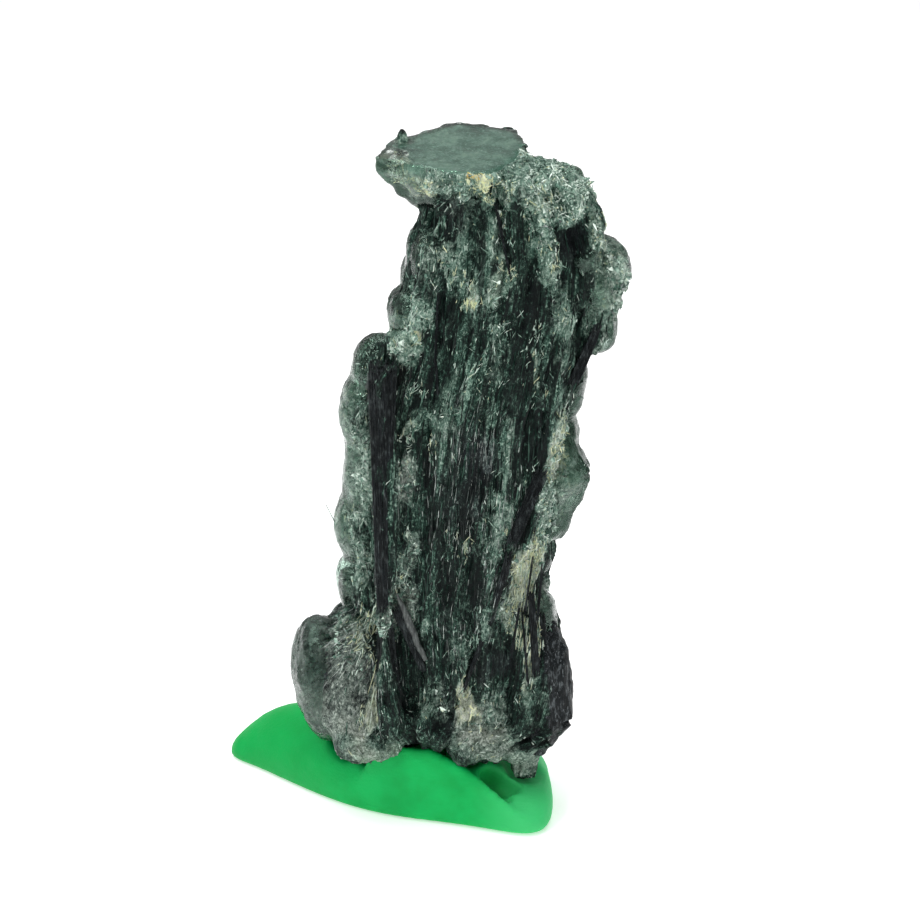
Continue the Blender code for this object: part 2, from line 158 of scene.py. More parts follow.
# Zones of colour on the body: centre, radii, light (-1 black, 1 pale), then yellow and cool if not 0
ZONES = [
    ((10.4, -1.0, 49.2), (3.6, 5.0, 2.6), 0.95),  # granular shoulder
    ((7.9, -1.4, 51.4), (1.5, 2.6, 1.0), 1.0, 0.4),  # crumbs against the table
    ((4.4, -3.8, 50.2), (4.6, 2.2, 1.5), 0.85, 0.1),  # crust over the table's front
    ((4.7, -4.4, 50.6), (1.1, 1.6, 1.0), 0.9, 1.0),  # gold spot
    ((0.2, -2.2, 49.7), (2.3, 3.2, 1.7), 0.9, 0.6),  # olive glow behind the clear end
    ((8.4, -4.6, 48.0), (1.5, 3.0, 3.8), 1.0, 0.08),  # light column
    ((9.4, -4.6, 44.6), (1.0, 3.0, 2.6), 0.75, 0.15),
    ((7.3, -5.0, 47.4), (0.35, 2.5, 2.4), -0.5),
    ((7.2, -3.2, 49.6), (1.5, 2.4, 1.7), 0.8, 0.15),
    ((5.6, -3.8, 47.2), (1.0, 2.5, 3.0), 0.5, 0.1),
    ((7.8, -5.2, 42.2), (0.8, 2.5, 3.4), -0.45, 0.0, 0.2),
    ((13.0, -2.6, 46.4), (0.9, 2.5, 3.0), 0.6, 0.25),
    ((11.0, -4.0, 46.4), (1.35, 3.0, 2.2), -0.85, 0.0, 0.6),  # black patch under the shoulder
    ((3.0, -3.2, 47.8), (1.5, 2.5, 2.6), 0.2, 0.0, 0.4),
    ((3.0, -4.0, 44.6), (2.0, 2.4, 3.4), 0.42, 0.08, 0.1),
    ((0.9, -2.8, 45.2), (1.9, 2.6, 3.8), 0.36, 0.0, 0.2),
    ((4.1, -5.2, 43.2), (0.9, 2.2, 3.2), 0.6, 0.35),
    ((5.9, -5.2, 44.2), (0.9, 2.2, 3.4), 0.65, 0.3),  # pale curls
    ((3.7, -5.2, 41.7), (1.0, 1.6, 0.7), 0.9, 0.6),  # bright curl
    ((1.6, -4.2, 40.0), (0.45, 2.5, 6.0), -1.0),  # black groove
    ((-0.2, -3.4, 40.8), (2.1, 3.2, 2.5), 0.75),
    ((-0.9, -2.8, 38.4), (1.9, 2.8, 2.1), 1.3, 0.1),  # bright moss over the blade
    ((0.3, -3.4, 39.2), (0.7, 1.5, 0.9), 0.9, 0.9),
    ((5.8, -5.4, 38.8), (1.3, 2.0, 4.4), 0.42),
    ((10.4, -4.6, 41.2), (1.8, 2.5, 3.6), 0.4, 0.1),
    ((8.6, -5.2, 37.2), (0.6, 2.0, 2.6), 0.6, 0.4),
    ((0.6, -4.8, 33.4), (1.9, 2.2, 3.2), 0.3, 0.05),
    ((-0.6, -4.6, 32.0), (0.8, 1.8, 0.8), 0.9, 0.3),
    ((2.6, -5.2, 35.0), (0.7, 2.0, 5.2), 0.25),
    ((4.4, -5.4, 30.0), (1.8, 2.0, 4.6), -0.5, 0.0, 0.8),  # violet-black middle
    ((6.7, -5.4, 32.2), (0.6, 2.0, 3.8), 0.4, 0.0, 0.1),
    ((8.4, -5.0, 32.2), (1.0, 2.0, 3.4), -0.5, 0.0, 0.2),
    ((10.3, -3.2, 31.2), (1.6, 2.8, 3.3), 1.1, 0.5),  # yellow-green patch
    ((9.9, -2.8, 26.0), (1.7, 3.2, 4.4), 1.0, 0.0, 0.1),
    ((3.0, -5.2, 27.2), (2.1, 2.2, 3.8), -0.7, 0.0, 0.3),
    ((-0.6, -3.8, 28.4), (1.3, 2.2, 2.8), 0.75, 0.0, 1.0),
    ((5.6, -5.2, 24.8), (1.6, 2.0, 5.2), 0.35, 0.03),
    ((8.5, -4.2, 22.2), (1.4, 2.5, 3.2), 1.2, 0.8),  # cream crust low on the right
    ((8.0, -4.2, 19.2), (1.0, 2.0, 2.2), 0.8, 0.5),
    ((3.5, -5.2, 23.4), (0.7, 1.6, 1.4), 0.6, 0.6),
    ((-0.6, -4.2, 22.6), (1.0, 2.0, 2.6), 0.75, 0.0, 0.8),
    ((-1.6, -3.2, 18.2), (2.6, 2.6, 3.6), 0.85, 0.0, 1.1),
    ((1.2, -4.6, 17.0), (0.35, 1.6, 1.7), 0.75, 0.0, 0.2),
    ((4.0, -5.0, 16.0), (2.6, 2.2, 3.6), 0.25, 0.0, 0.1),
    ((-3.3, -2.4, 16.4), (0.9, 2.2, 1.9), 1.0, 0.8),  # cream left of the fan
    ((-3.2, -3.2, 10.2), (0.5, 1.8, 3.0), 0.8, 0.6),
    ((-4.8, -3.0, 8.6), (2.2, 2.0, 1.8), 0.7, 0.2, 0.5),
    ((-0.4, -3.9, 13.0), (0.7, 1.6, 2.2), 0.6, 0.6),
    ((0.3, -3.4, 10.4), (1.0, 1.6, 1.6), 0.45, 0.2),
    ((1.5, -2.8, 8.0), (1.3, 2.0, 1.0), -0.6),
    ((1.9, -4.0, 10.6), (1.0, 2.0, 2.2), 0.55, 0.1, 0.6),  # crevice between the feet
    ((3.9, -4.6, 11.0), (1.3, 1.8, 2.9), 0.8, 0.75, 0.3),  # tan patch
    ((6.9, -4.6, 17.4), (0.9, 1.8, 2.6), 0.95, 0.35),
    ((5.9, -4.5, 13.6), (1.2, 1.8, 1.6), -0.4, 0.0, 0.6),
    ((5.4, -4.0, 7.0), (3.4, 2.8, 2.4), 0.8, 0.2, 0.6),
    ((3.9, -4.2, 9.0), (1.8, 2.4, 2.6), 0.2, 0.1, 0.5),
    ((8.2, -3.0, 5.2), (1.6, 2.8, 2.2), 1.1, 0.1, 0.6),
    ((-3.8, -2.6, 6.4), (3.4, 3.2, 2.1), 0.85, 0.35, 0.6),
    ((-5.4, -1.0, 11.0), (3.8, 5.0, 6.2), 0.38, 0.0, 1.3),
    ((-4.8, -1.8, 15.4), (2.2, 3.0, 2.0), 0.6, 0.25),  # left foot
    ((10.4, -2.6, 12.6), (2.0, 3.5, 3.8), -0.5, 0.0, 0.95),  # right foot
    ((8.2, -4.4, 14.2), (0.6, 1.8, 4.2), 0.7, 0.35, 0.3),
    ((10.3, -2.4, 18.4), (1.1, 2.8, 2.6), 0.8, 0.0, 0.9),
    ((2.6, 0.8, 51.0), (7.5, 7.5, 1.6), 0.55),  # under the table
    ((-0.9, 2.4, 52.8), (1.4, 1.4, 1.6), -1.1, 0.0, 0.9),  # knob
    ((-4.2, 0.6, 27.0), (2.6, 4.2, 11.5), 0.9, 0.0, 0.2),
    ((10.8, -0.4, 27.0), (2.4, 3.6, 9.0), 0.6, 0.05, 0.1),
    ((13.4, -0.8, 41.0), (2.4, 3.0, 4.5), 0.9, 0.0, 0.2),
    ((13.2, -1.6, 43.6), (2.4, 3.0, 3.2), 1.0, 0.0, 0.3),
    ((12.9, -1.6, 38.2), (1.6, 2.4, 2.0), 0.8, 0.0, 0.9),
    ((5.6, -4.4, 9.6), (2.2, 2.2, 2.4), 0.5, 0.1, 0.5),
]


# ---- objects and modifiers

def select_none():
    bpy.ops.object.select_all(action="DESELECT")


def only(obj):
    select_none()
    obj.select_set(True)
    bpy.context.view_layer.objects.active = obj


def modify(obj, kind, **settings):
    """Adds a modifier, sets it and applies it."""
    only(obj)
    modifier = obj.modifiers.new(kind.title(), kind)
    for name, value in settings.items():
        setattr(modifier, name, value)
    bpy.ops.object.modifier_apply(modifier=modifier.name)


def melt(obj, voxel, passes):
    """Turns what is joined in a mesh into one smooth closed skin."""
    modify(obj, "REMESH", mode="VOXEL", voxel_size=voxel)
    modify(obj, "SMOOTH", factor=0.5, iterations=passes)


def linked(name, data):
    """A new object in the scene."""
    obj = bpy.data.objects.new(name, data)
    bpy.context.scene.collection.objects.link(obj)
    return obj


def on_whole_mesh(obj, operator, **settings):
    """Runs an edit-mode operator on all of a mesh."""
    only(obj)
    bpy.ops.object.mode_set(mode="EDIT")
    bpy.ops.mesh.select_all(action="SELECT")
    operator(**settings)
    bpy.ops.object.mode_set(mode="OBJECT")


def join(name, objects):
    """Joins meshes into the first of them."""
    select_none()
    for obj in objects:
        obj.select_set(True)
    bpy.context.view_layer.objects.active = objects[0]
    if len(objects) > 1:
        bpy.ops.object.join()
    objects[0].name = name
    return objects[0]


def settle(obj):
    """Applies the object's place, turn and size to its mesh."""
    only(obj)
    bpy.ops.object.transform_apply(location=True, rotation=True, scale=True)


def ball(centre, radii, turn=0.0):
    select_none()
    bpy.ops.mesh.primitive_ico_sphere_add(subdivisions=BALL_FINENESS, radius=1.0, location=centre)
    obj = bpy.context.object
    obj.scale = radii
    obj.rotation_euler = (0.0, math.radians(turn), 0.0)
    settle(obj)
    return obj


def rod(foot, head, radius_foot, radius_head, sides=6, depth=1.0, roll=0.0):
    """A straight crystal with flat ends."""
    foot, head = Vector(foot), Vector(head)
    along = head - foot
    select_none()
    bpy.ops.mesh.primitive_cone_add(
        vertices=sides, radius1=radius_foot, radius2=radius_head, depth=along.length)
    obj = bpy.context.object
    stretch = Matrix.Diagonal((1.0, depth, 1.0, 1.0)) @ Matrix.Rotation(math.radians(roll), 4, "Z")
    lean = Vector((0, 0, 1)).rotation_difference(along).to_matrix().to_4x4()
    obj.matrix_world = Matrix.Translation((foot + head) / 2) @ lean @ stretch
    settle(obj)
    return obj


def copy_of_node(node, name):
    """A merged copy of a CAD node, in the drawing frame."""
    obj = linked(name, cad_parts[node].data.copy())
    obj.data.materials.clear()
    obj.data.transform(Matrix.Translation(MIDDLE) @ Matrix.Scale(1.0 / MM, 4))
    on_whole_mesh(obj, bpy.ops.mesh.remove_doubles, threshold=0.001)
    return obj


def finish_piece(obj, material, smooth=None):
    """Brings a finished piece into the part's frame, and gives it its material and body."""
    obj.data.transform(Matrix.Scale(MM, 4) @ Matrix.Translation(-MIDDLE))
    obj.data.materials.clear()
    obj.data.materials.append(material)
    if smooth is not None:
        only(obj)
        bpy.ops.object.shade_smooth_by_angle(angle=math.radians(smooth))
    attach(obj, "root")


# ---- numbers over a mesh

def points_of(obj):
    points = np.empty(len(obj.data.vertices) * 3)
    obj.data.vertices.foreach_get("co", points)
    return points.reshape(-1, 3)


def set_points(obj, points):
    obj.data.vertices.foreach_set("co", np.ascontiguousarray(points, np.float32).ravel())
    obj.data.update()


def normals_of(obj):
    normals = np.empty(len(obj.data.vertices) * 3)
    obj.data.vertex_normals.foreach_get("vector", normals)
    return normals.reshape(-1, 3)


def push_out(obj, distances):
    """Moves each point along its normal."""
    set_points(obj, points_of(obj) + normals_of(obj) * distances[:, None])


def set_attribute(obj, name, values):
    kind = "FLOAT_VECTOR" if values.ndim == 2 else "FLOAT"
    attribute = obj.data.attributes.new(name, kind, "POINT")
    field = "vector" if values.ndim == 2 else "value"
    attribute.data.foreach_set(field, np.ascontiguousarray(values, np.float32).ravel())


def noise_at(points, size, seed):
    """Smooth noise, about -1 to 1, whose lumps have the given size: one number, or one along each axis."""
    scaled = points / np.array(size, float) + seed * 17.3
    return np.array([noise.noise(Vector(point)) for point in scaled])


def smoothstep(low, high, values):
    t = np.clip((values - low) / (high - low), 0.0, 1.0)
    return t * t * (3.0 - 2.0 * t)


def inside(points, centre, radii):
    """1 in the middle of an ellipsoid, falling to 0 at its surface."""
    reach = np.linalg.norm((points - np.array(centre)) / np.array(radii), axis=1)
    return 1.0 - smoothstep(0.45, 1.0, reach)


def unit(vectors):
    return vectors / (np.linalg.norm(vectors, axis=-1, keepdims=True) + 1e-12)


def trunk_at(z):
    """The trunk's centre x, centre y, half width and half depth at each height."""
    return [np.interp(z, TRUNK[:, 0], column) for column in TRUNK.T[1:]]


def column_of(points):
    """Across, through and along the trunk, as if it stood straight and even."""
    centre_x, centre_y, width, depth = trunk_at(points[:, 2])
    across = (points[:, 0] - centre_x) / width * MEAN_WIDTH
    through = (points[:, 1] - centre_y) / depth * MEAN_DEPTH
    return np.stack([across, through, points[:, 2]], 1)


FAN_POINT = np.array((-1.8, -3.0, 18.4))  # where the needles of the left foot spread from


def fan_weight(points):
    return inside(points, (-5.6, 0.0, 10.6), (6.2, 7.5, 9.0))


def foot_weight(points):
    """1 on the smooth grey front of the left foot, below its fan."""
    return inside(points, (-5.6, -2.0, 9.0), (4.6, 5.5, 5.6))


def edge_weight(points):
    """1 along the clean lower right edge of the right foot."""
    edge = inside(points, (10.8, -1.0, 9.0), (2.6, 5.0, 5.0))
    return np.maximum(edge, inside(points, (9.3, -2.4, 6.2), (2.3, 3.6, 2.6)))


def grain_of(points):
    """Coordinates that run with the needles: up the trunk, and outward in the left foot's fan."""
    offset = points - FAN_POINT
    reach = np.linalg.norm(offset[:, (0, 2)], axis=1)
    turn = np.arctan2(offset[:, 0], -offset[:, 2])
    fan = np.stack([turn * 7.0, points[:, 1], reach], 1)
    weight = (fan_weight(points) > 0.5)[:, None]
    return np.where(weight, fan, column_of(points))


def zones_of(points):
    """How light, yellow and cool the body is at each point."""
    ragged = points.copy()
    for size, reach in ((2.2, 1.1), (0.7, 0.45)):
        shifts = [noise_at(points, (size, size, size * 1.6), seed) for seed in (51, 52, 53)]
        ragged += np.stack(shifts, 1) * reach
    sums = np.zeros((3, len(points)))
    for centre, radii, *values in ZONES:
        sums += inside(ragged, centre, radii) * np.array((*values, 0.0, 0.0)[:3])[:, None]
    light, yellow, cool = sums
    return np.clip(light, -1.0, 1.0), np.clip(yellow, 0.0, 1.0), np.clip(cool, 0.0, 1.0)


# ---- shader wiring

class Wire:
    """A socket of a material's nodes. Arithmetic on wires adds Math nodes."""

    def __init__(self, paint, socket):
        self.paint, self.socket = paint, socket

    def __add__(self, other):
        return self.paint.math("ADD", self, other)

    def __sub__(self, other):
        return self.paint.math("SUBTRACT", self, other)

    def __rsub__(self, other):
        return self.paint.math("SUBTRACT", other, self)

    def __mul__(self, other):
        return self.paint.math("MULTIPLY", self, other)

    __radd__ = __add__

    def at_most(self, other):
        return self.paint.math("MINIMUM", self, other)

    def at_least(self, other):
        return self.paint.math("MAXIMUM", self, other)

    def rise(self, low, high):
        """0 below low, 1 above high, smooth between."""
        inputs = {"Value": self, "From Min": low, "From Max": high}
        return self.paint.node("ShaderNodeMapRange", {"interpolation_type": "SMOOTHSTEP"}, inputs)


class Paint:
    """A material and the nodes that make it."""

    def __init__(self, name):
        self.material = bpy.data.materials.new(name)
        self.material.use_nodes = True
        self.tree = self.material.node_tree
        self.tree.nodes.clear()

    def feed(self, socket, value):
        """Links a wire to a socket, or sets the socket to a number, a vector or a colour."""
        if isinstance(value, Wire):
            self.tree.links.new(value.socket, socket)
        else:
            socket.default_value = (*value, 1.0) if socket.type == "RGBA" else value

    def node(self, kind, settings=None, inputs=None, output=0):
        made = self.tree.nodes.new(kind)
        for name, value in (settings or {}).items():
            setattr(made, name, value)
        for name, value in (inputs or {}).items():
            self.feed(made.inputs[name], value)
        return Wire(self, made.outputs[output])

    def math(self, operation, first, second):
        return self.node("ShaderNodeMath", {"operation": operation}, {0: first, 1: second})

    def stretched(self, where, scale):
        scale = scale if isinstance(scale, tuple) else (scale,) * 3
        return self.node("ShaderNodeVectorMath", {"operation": "MULTIPLY"}, {0: where, 1: scale})

    def attribute(self, name, output="Fac"):
        return self.node("ShaderNodeAttribute", {"attribute_name": name}, output=output)

    def millimetres(self):
        """The place on the object, in millimetres."""
        return self.stretched(self.node("ShaderNodeTexCoord", output="Object"), 1.0 / MM)

    def noise(self, where, scale, detail, roughness=0.55, distortion=0.0):
        """Noise with so many lumps per unit along each axis."""
        inputs = {"Vector": self.stretched(where, scale), "Scale": 1.0, "Detail": detail,
                  "Roughness": roughness, "Distortion": distortion}
        return self.node("ShaderNodeTexNoise", {}, inputs)

    def cells(self, where, scale):
        """A random grey for each of so many cells per millimetre along each axis."""
        inputs = {"Vector": self.stretched(where, scale), "Scale": 1.0}
        return self.node("ShaderNodeTexVoronoi", {}, inputs, output="Color")

    def mix(self, factor, first, second):
        """A colour between two."""
        return self.node("ShaderNodeMix", {"data_type": "RGBA"}, {0: factor, 6: first, 7: second}, 2)

    def ramp(self, factor, stops):
        """Colours along a number, from (number, colour) pairs."""
        made = self.node("ShaderNodeValToRGB", {}, {"Fac": factor})
        elements = made.socket.node.color_ramp.elements
        while len(elements) < len(stops):
            elements.new(1.0)
        for element, (position, colour) in zip(elements, stops):
            element.position = position
            element.color = (*colour, 1.0)
        return made

    def bump(self, height, distance, strength):
        inputs = {"Height": height, "Distance": distance * MM, "Strength": strength}
        return self.node("ShaderNodeBump", {}, inputs)

    def surface(self, **inputs):
        """The Principled shader and the output. Names are the sockets' own, with _ for a space."""
        named = {name.replace("_", " "): value for name, value in inputs.items()}
        shader = self.node("ShaderNodeBsdfPrincipled", {}, named)
        self.output = self.tree.nodes.new("ShaderNodeOutputMaterial")
        self.feed(self.output.inputs["Surface"], shader)
        return self.material

    def absorb(self, colour, per_metre):
        """Colours the light by its way through the inside."""
        volume = self.node("ShaderNodeVolumeAbsorption", {}, {"Color": colour, "Density": per_metre})
        self.feed(self.output.inputs["Volume"], volume)


BLACK = (0.003, 0.006, 0.006)
BLACK_GREEN = (0.005, 0.015, 0.011)
DARK_GREEN = (0.015, 0.041, 0.030)
MIDDLE_GREEN = (0.048, 0.108, 0.079)
LIGHT_GREEN = (0.15, 0.27, 0.21)
PALE_GREEN = (0.39, 0.56, 0.45)
WHITE_GREEN = (0.77, 0.90, 0.80)
CREAM = (0.62, 0.68, 0.47)
GOLD = (0.85, 0.66, 0.16)
SHINE = 0.13  # how strongly the dark crystals reflect


def body_paint():
    """Dark green needles packed side by side, and a crust of small pale crystals over parts of them. The
    relief paints the grooves darker and the ridges lighter, as painted shade and painted light, and small
    bright flecks are partly pale crystal and partly painted glints.
    """
    paint = Paint("fibrous_apatite")
    grain = paint.attribute("grain", "Vector")
    light, yellow, cool, calm, relief = (
        paint.attribute(name) for name in ("light", "yellow", "cool", "calm", "relief"))
    spot = paint.millimetres()
    bands = paint.noise(grain, (1.0, 1.0, 0.06), 3.0, 0.5)
    streaks = paint.noise(grain, (2.8, 2.8, 0.22), 5.0, 0.68)
    threads = paint.noise(grain, (11.0, 11.0, 0.9), 4.0, 0.7)
    felt = paint.noise(spot, (5.5, 5.5, 4.5), 5.0, 0.78)
    crumbs = paint.noise(spot, (3.2, 3.2, 2.6), 6.0, 0.76, 0.6)
    patches = paint.noise(grain, (0.45, 0.45, 0.22), 4.0, 0.6)
    # Small bright flecks, partly pale crystal and partly painted glints in place of highlights.
    flecks_and_painted_glints = paint.cells(spot, (7.0, 7.0, 4.0)).rise(0.66, 0.74) * felt.rise(0.45, 0.62)
    # The relief paints the grooves darker and the ridges lighter: painted shade and painted light. The zones'
    # light is the crystals' own tone.
    tone_and_groove_shade = light.at_most(0.0) * 0.22 + light.at_least(0.0) * 0.14 + relief * 0.45
    dark_tone = bands * 1.0 + streaks * 1.5 + threads * 1.7 + felt * 1.9 - 2.64 + tone_and_groove_shade + flecks_and_painted_glints * 0.3
    dark = paint.ramp(dark_tone, [
        (0.05, BLACK), (0.24, BLACK_GREEN), (0.44, DARK_GREEN), (0.62, MIDDLE_GREEN), (0.80, LIGHT_GREEN),
        (1.0, PALE_GREEN)])
    dark = paint.mix(cool * 0.88, dark, paint.ramp(dark_tone, [
        (0.05, (0.004, 0.005, 0.008)), (0.35, (0.022, 0.026, 0.032)), (0.62, (0.09, 0.10, 0.105)),
        (0.9, (0.30, 0.33, 0.33))]))
    crust_tone = crumbs * 1.8 + threads * 0.45 + felt * 1.3 - 1.38
    # Here too the relief paints the grooves darker and the ridges lighter: painted shade and painted light.
    crust_tone = crust_tone + light * 0.18 + relief * 0.35 + flecks_and_painted_glints * 0.3
    crust = paint.ramp(crust_tone, [
        (0.08, DARK_GREEN), (0.26, MIDDLE_GREEN), (0.46, LIGHT_GREEN), (0.68, PALE_GREEN),
        (0.92, WHITE_GREEN)])
    crust = paint.mix(cool * 0.75, crust, paint.ramp(crust_tone, [
        (0.08, (0.024, 0.032, 0.030)), (0.26, (0.075, 0.087, 0.080)), (0.46, (0.17, 0.19, 0.17)),
        (0.68, (0.38, 0.42, 0.375)), (0.92, (0.72, 0.77, 0.71))]))
    creamy = paint.ramp(crust_tone * 0.6 + streaks * 1.4 + threads * 1.4 + felt * 0.6 - 1.38, [
        (0.10, DARK_GREEN), (0.30, (0.13, 0.16, 0.10)), (0.60, (0.60, 0.68, 0.51)),
        (0.95, (0.90, 0.94, 0.84))])
    crust = paint.mix(yellow.rise(0.05, 0.85), crust, creamy)
    cover = (patches * 0.7 + crumbs * 0.35 + threads * 0.25 + light * 0.42 - 0.62).rise(0.05, 0.22)
    colour = paint.mix(cover, dark, crust)
    seams = paint.noise(grain, (1.3, 1.3, 0.07), 3.0, 0.5) - 0.5
    colour = paint.mix((seams * seams).rise(0.005, 0.001) * (0.75 - cover * 0.5), colour, BLACK)
    veil = paint.noise(spot, (0.6, 0.6, 0.6), 5.0, 0.62, 0.8)
    colour = paint.mix(calm, colour, paint.ramp(veil + felt * 0.5 - 0.08 + flecks_and_painted_glints * 0.3, [
        (0.42, (0.028, 0.070, 0.053)), (0.62, (0.095, 0.205, 0.158)), (0.86, (0.265, 0.43, 0.345))]))
    height = (streaks * 0.6 + threads * 0.5 + crumbs * cover * 0.8 + felt * 0.4) * (1.0 - calm)
    normal = paint.bump(height, 0.30, 1.0)
    return paint.surface(
        Base_Color=colour, Roughness=0.30 + crumbs * 0.3, Normal=normal, IOR=1.6, Specular_IOR_Level=SHINE)


def strand_paint(name, shine, roughness, grey=0.0):
    """Single needles and grains; each has its own tone, from black through green to pale, cream and gold."""
    paint = Paint(name)
    tone = paint.attribute("tone")
    broken = (paint.cells(paint.millimetres(), (5.0, 5.0, 2.6)) - 0.5) * 0.4
    tone = tone + broken * tone.rise(0.84, 0.78)
    colour = paint.ramp(tone, [
        (0.0, BLACK), (0.2, BLACK_GREEN), (0.34, DARK_GREEN), (0.5, MIDDLE_GREEN), (0.64, LIGHT_GREEN),
        (0.76, PALE_GREEN), (0.84, WHITE_GREEN), (0.88, CREAM), (0.955, (0.87, 0.90, 0.55)), (0.98, GOLD),
        (1.0, (0.70, 0.38, 0.07))])
    greys = paint.ramp(tone, [
        (0.2, (0.01, 0.012, 0.012)), (0.55, (0.11, 0.125, 0.12)), (0.84, (0.75, 0.8, 0.77))])
    colour = paint.mix(grey, colour, greys)
    rough = roughness + paint.noise(paint.millimetres(), 3.0, 2.0) * 0.2
    return paint.surface(Base_Color=colour, Roughness=rough, IOR=1.6, Specular_IOR_Level=shine)


def blade_paint(name="black_blade", glint=0.7, bright=(0.13, 0.155, 0.155)):
    """Black crystals with a faint violet cast and fine ribs."""
    paint = Paint(name)
    spot = paint.millimetres()
    ribs = paint.noise(spot, (9.0, 9.0, 0.45), 4.0, 0.62)
    dust = paint.noise(spot, (3.4, 3.4, 1.3), 5.0, 0.70).rise(0.50, 0.70)
    colour = paint.mix(ribs.rise(0.42, 0.72), (0.003, 0.005, 0.0055), (0.016, 0.021, 0.024))
    glints = paint.noise(spot, (11.0, 11.0, 0.7), 3.0, 0.7).rise(0.60, 0.68)
    colour = paint.mix((dust * 0.5 + glints * glint).at_most(1.0), colour, bright)
    normal = paint.bump(ribs, 0.12, 0.9)
    return paint.surface(
        Base_Color=colour, Roughness=0.34 + dust * 0.3, Normal=normal, IOR=1.6, Specular_IOR_Level=0.1)


def clear_paint(name, tint, per_metre, ripple=0.05, haze=0.16, dull=0.05):
    """See-through crystal with a slightly uneven skin, hazy in places."""
    paint = Paint(name)
    spot = paint.millimetres()
    steps = paint.noise(spot, (1.4, 1.4, 1.0), 4.0, 0.6)
    normal = paint.bump(steps, ripple * 5.0, 0.8)
    rough = dull + paint.noise(spot, 1.8, 4.0, 0.6).rise(0.4, 0.65) * haze
    material = paint.surface(
        Base_Color=(0.93, 0.97, 0.94), Roughness=rough, Normal=normal, IOR=1.58, Transmission_Weight=1.0,
        Specular_Tint=(0.55, 0.85, 0.68))
    paint.absorb(tint, per_metre)
    return material


def putty_paint():
    """Soft green putty: a satin skin with faint finger marks, and light that travels a little way in. Its
    right end is painted paler, as painted light, and it is painted darker towards its left end, as painted
    shade.
    """
    paint = Paint("green_putty")
    spot = paint.millimetres()
    broad = paint.noise(spot, 0.35, 3.0)
    prints = paint.noise(spot, (1.2, 5.0, 5.0), 2.0, 0.5)
    grit = paint.noise(spot, 9.0, 3.0)
    colour = paint.mix(broad.rise(0.3, 0.7), (0.0, 0.40, 0.080), (0.002, 0.52, 0.115))
    # Painted light: the right end is painted paler.
    colour = paint.mix(paint.attribute("painted_light_right"), colour, (0.06, 0.66, 0.21))
    # Painted shade: the putty is painted darker, most of all at its left end.
    colour = paint.mix(paint.attribute("painted_shade_left"), colour, (0.002, 0.30, 0.055))
    normal = paint.bump(prints * 0.5 + grit * 0.5, 0.12, 0.5)
    return paint.surface(
        Base_Color=colour, Roughness=0.45 + grit * 0.2, Normal=normal, IOR=1.45, Specular_IOR_Level=0.2,
        Subsurface_Weight=0.2, Subsurface_Radius=(0.3, 1.0, 0.4), Subsurface_Scale=0.7 * MM)


# ---- the body of the specimen

def shrink_core(points, centre, radii, share):
    """Draws the surface of the solid in from a clear crystal's outer side, and leaves its front and root."""
    centre, radii = np.array(centre), np.array(radii)
    reach = np.linalg.norm((points - centre) / radii, axis=1)
    weight = 1.0 - smoothstep(1.05, 1.45, reach)
    root = centre + radii * (0.7 * math.copysign(1.0, 4.0 - centre[0]), -0.9, 0.0)
    return root + (points - root) * (1.0 - weight * (1.0 - share))[:, None]


def rim_depth(points):
    """How far inside the table's rim each point lies, seen from above."""
    rim = np.array(TABLE_RIM)
    depth = np.full(len(points), np.inf)
    for corner, following in zip(rim, np.roll(rim, -1, axis=0)):
        along = unit(following - corner)
        depth = np.minimum(depth, (points[:, :2] - corner) @ np.array((-along[1], along[0])))
    return depth


def table_weight(points):
    """1 on the face of the table, 0 at its rim and below."""
    below = TABLE_HEIGHT + TABLE_RISE * points[:, 1] - points[:, 2]
    return smoothstep(0.1, 0.5, rim_depth(points)) * (1.0 - smoothstep(0.3, 0.8, below))


def lower_table(points):
    """Sinks the face of the solid under the clear table, and draws it back from the clear left end."""
    points = points.copy()
    moved = 1.0 - inside(points, TABLE_KNOB, (1.0, 1.0, 1.0))
    shoulder = smoothstep(7.7, 8.5, points[:, 0]) * smoothstep(49.4, 51.2, points[:, 2])
    points[:, 2] -= shoulder * 0.3
    points[:, 2] -= table_weight(points) * 0.4 * moved
    top = smoothstep(50.0, 51.2, points[:, 2])
    points[:, 1] += 0.3 * top * smoothstep(2.5, 5.5, points[:, 1])
    points[:, 0] += 0.5 * top * smoothstep(5.0, 6.4, points[:, 0]) * smoothstep(1.0, 3.6, points[:, 1])
    high = smoothstep(46.2, 48.0, points[:, 2])
    left = np.clip(1.2 - points[:, 0], 0.0, None) * high * (1.0 - inside(points, TABLE_KNOB, (2.7, 2.7, 2.8)))
    points[:, 0] += left * 0.55
    return points


def taper_toe(points):
    """Narrows the tip of the right foot, where it goes into the putty."""
    points = points.copy()
    low = smoothstep(5.6, 7.0, points[:, 0]) * (1.0 - smoothstep(4.2, 7.6, points[:, 2]))
    low = low * (1.0 - inside(points, (5.4, -3.4, 6.6), (2.8, 2.6, 2.8)))
    points[:, :2] += (np.array(TOE) - points[:, :2]) * (low * 0.32)[:, None]
    return points


def relief_of(points):
    """How far the skin stands in or out: terraces and needles along the grain, crumbs on the pale parts."""
    grain = grain_of(points)
    light, _, _ = zones_of(points)
    waves = noise_at(grain, (1.5, 1.5, 13.0), 1)
    terraces = np.round(waves * 4.0) / 4.0 * 0.45 + waves * 0.25
    bundles = np.abs(noise_at(grain, (0.8, 0.8, 7.0), 2)) * -0.5
    needles = noise_at(grain, (0.36, 0.36, 2.0), 3) * 0.16
    crumbs = noise_at(points, 0.55, 4) * (0.12 + 0.20 * np.clip(light, 0.0, 1.0))
    lumps = noise_at(points, 1.6, 5) * 0.22
    return terraces + bundles + needles + crumbs + lumps


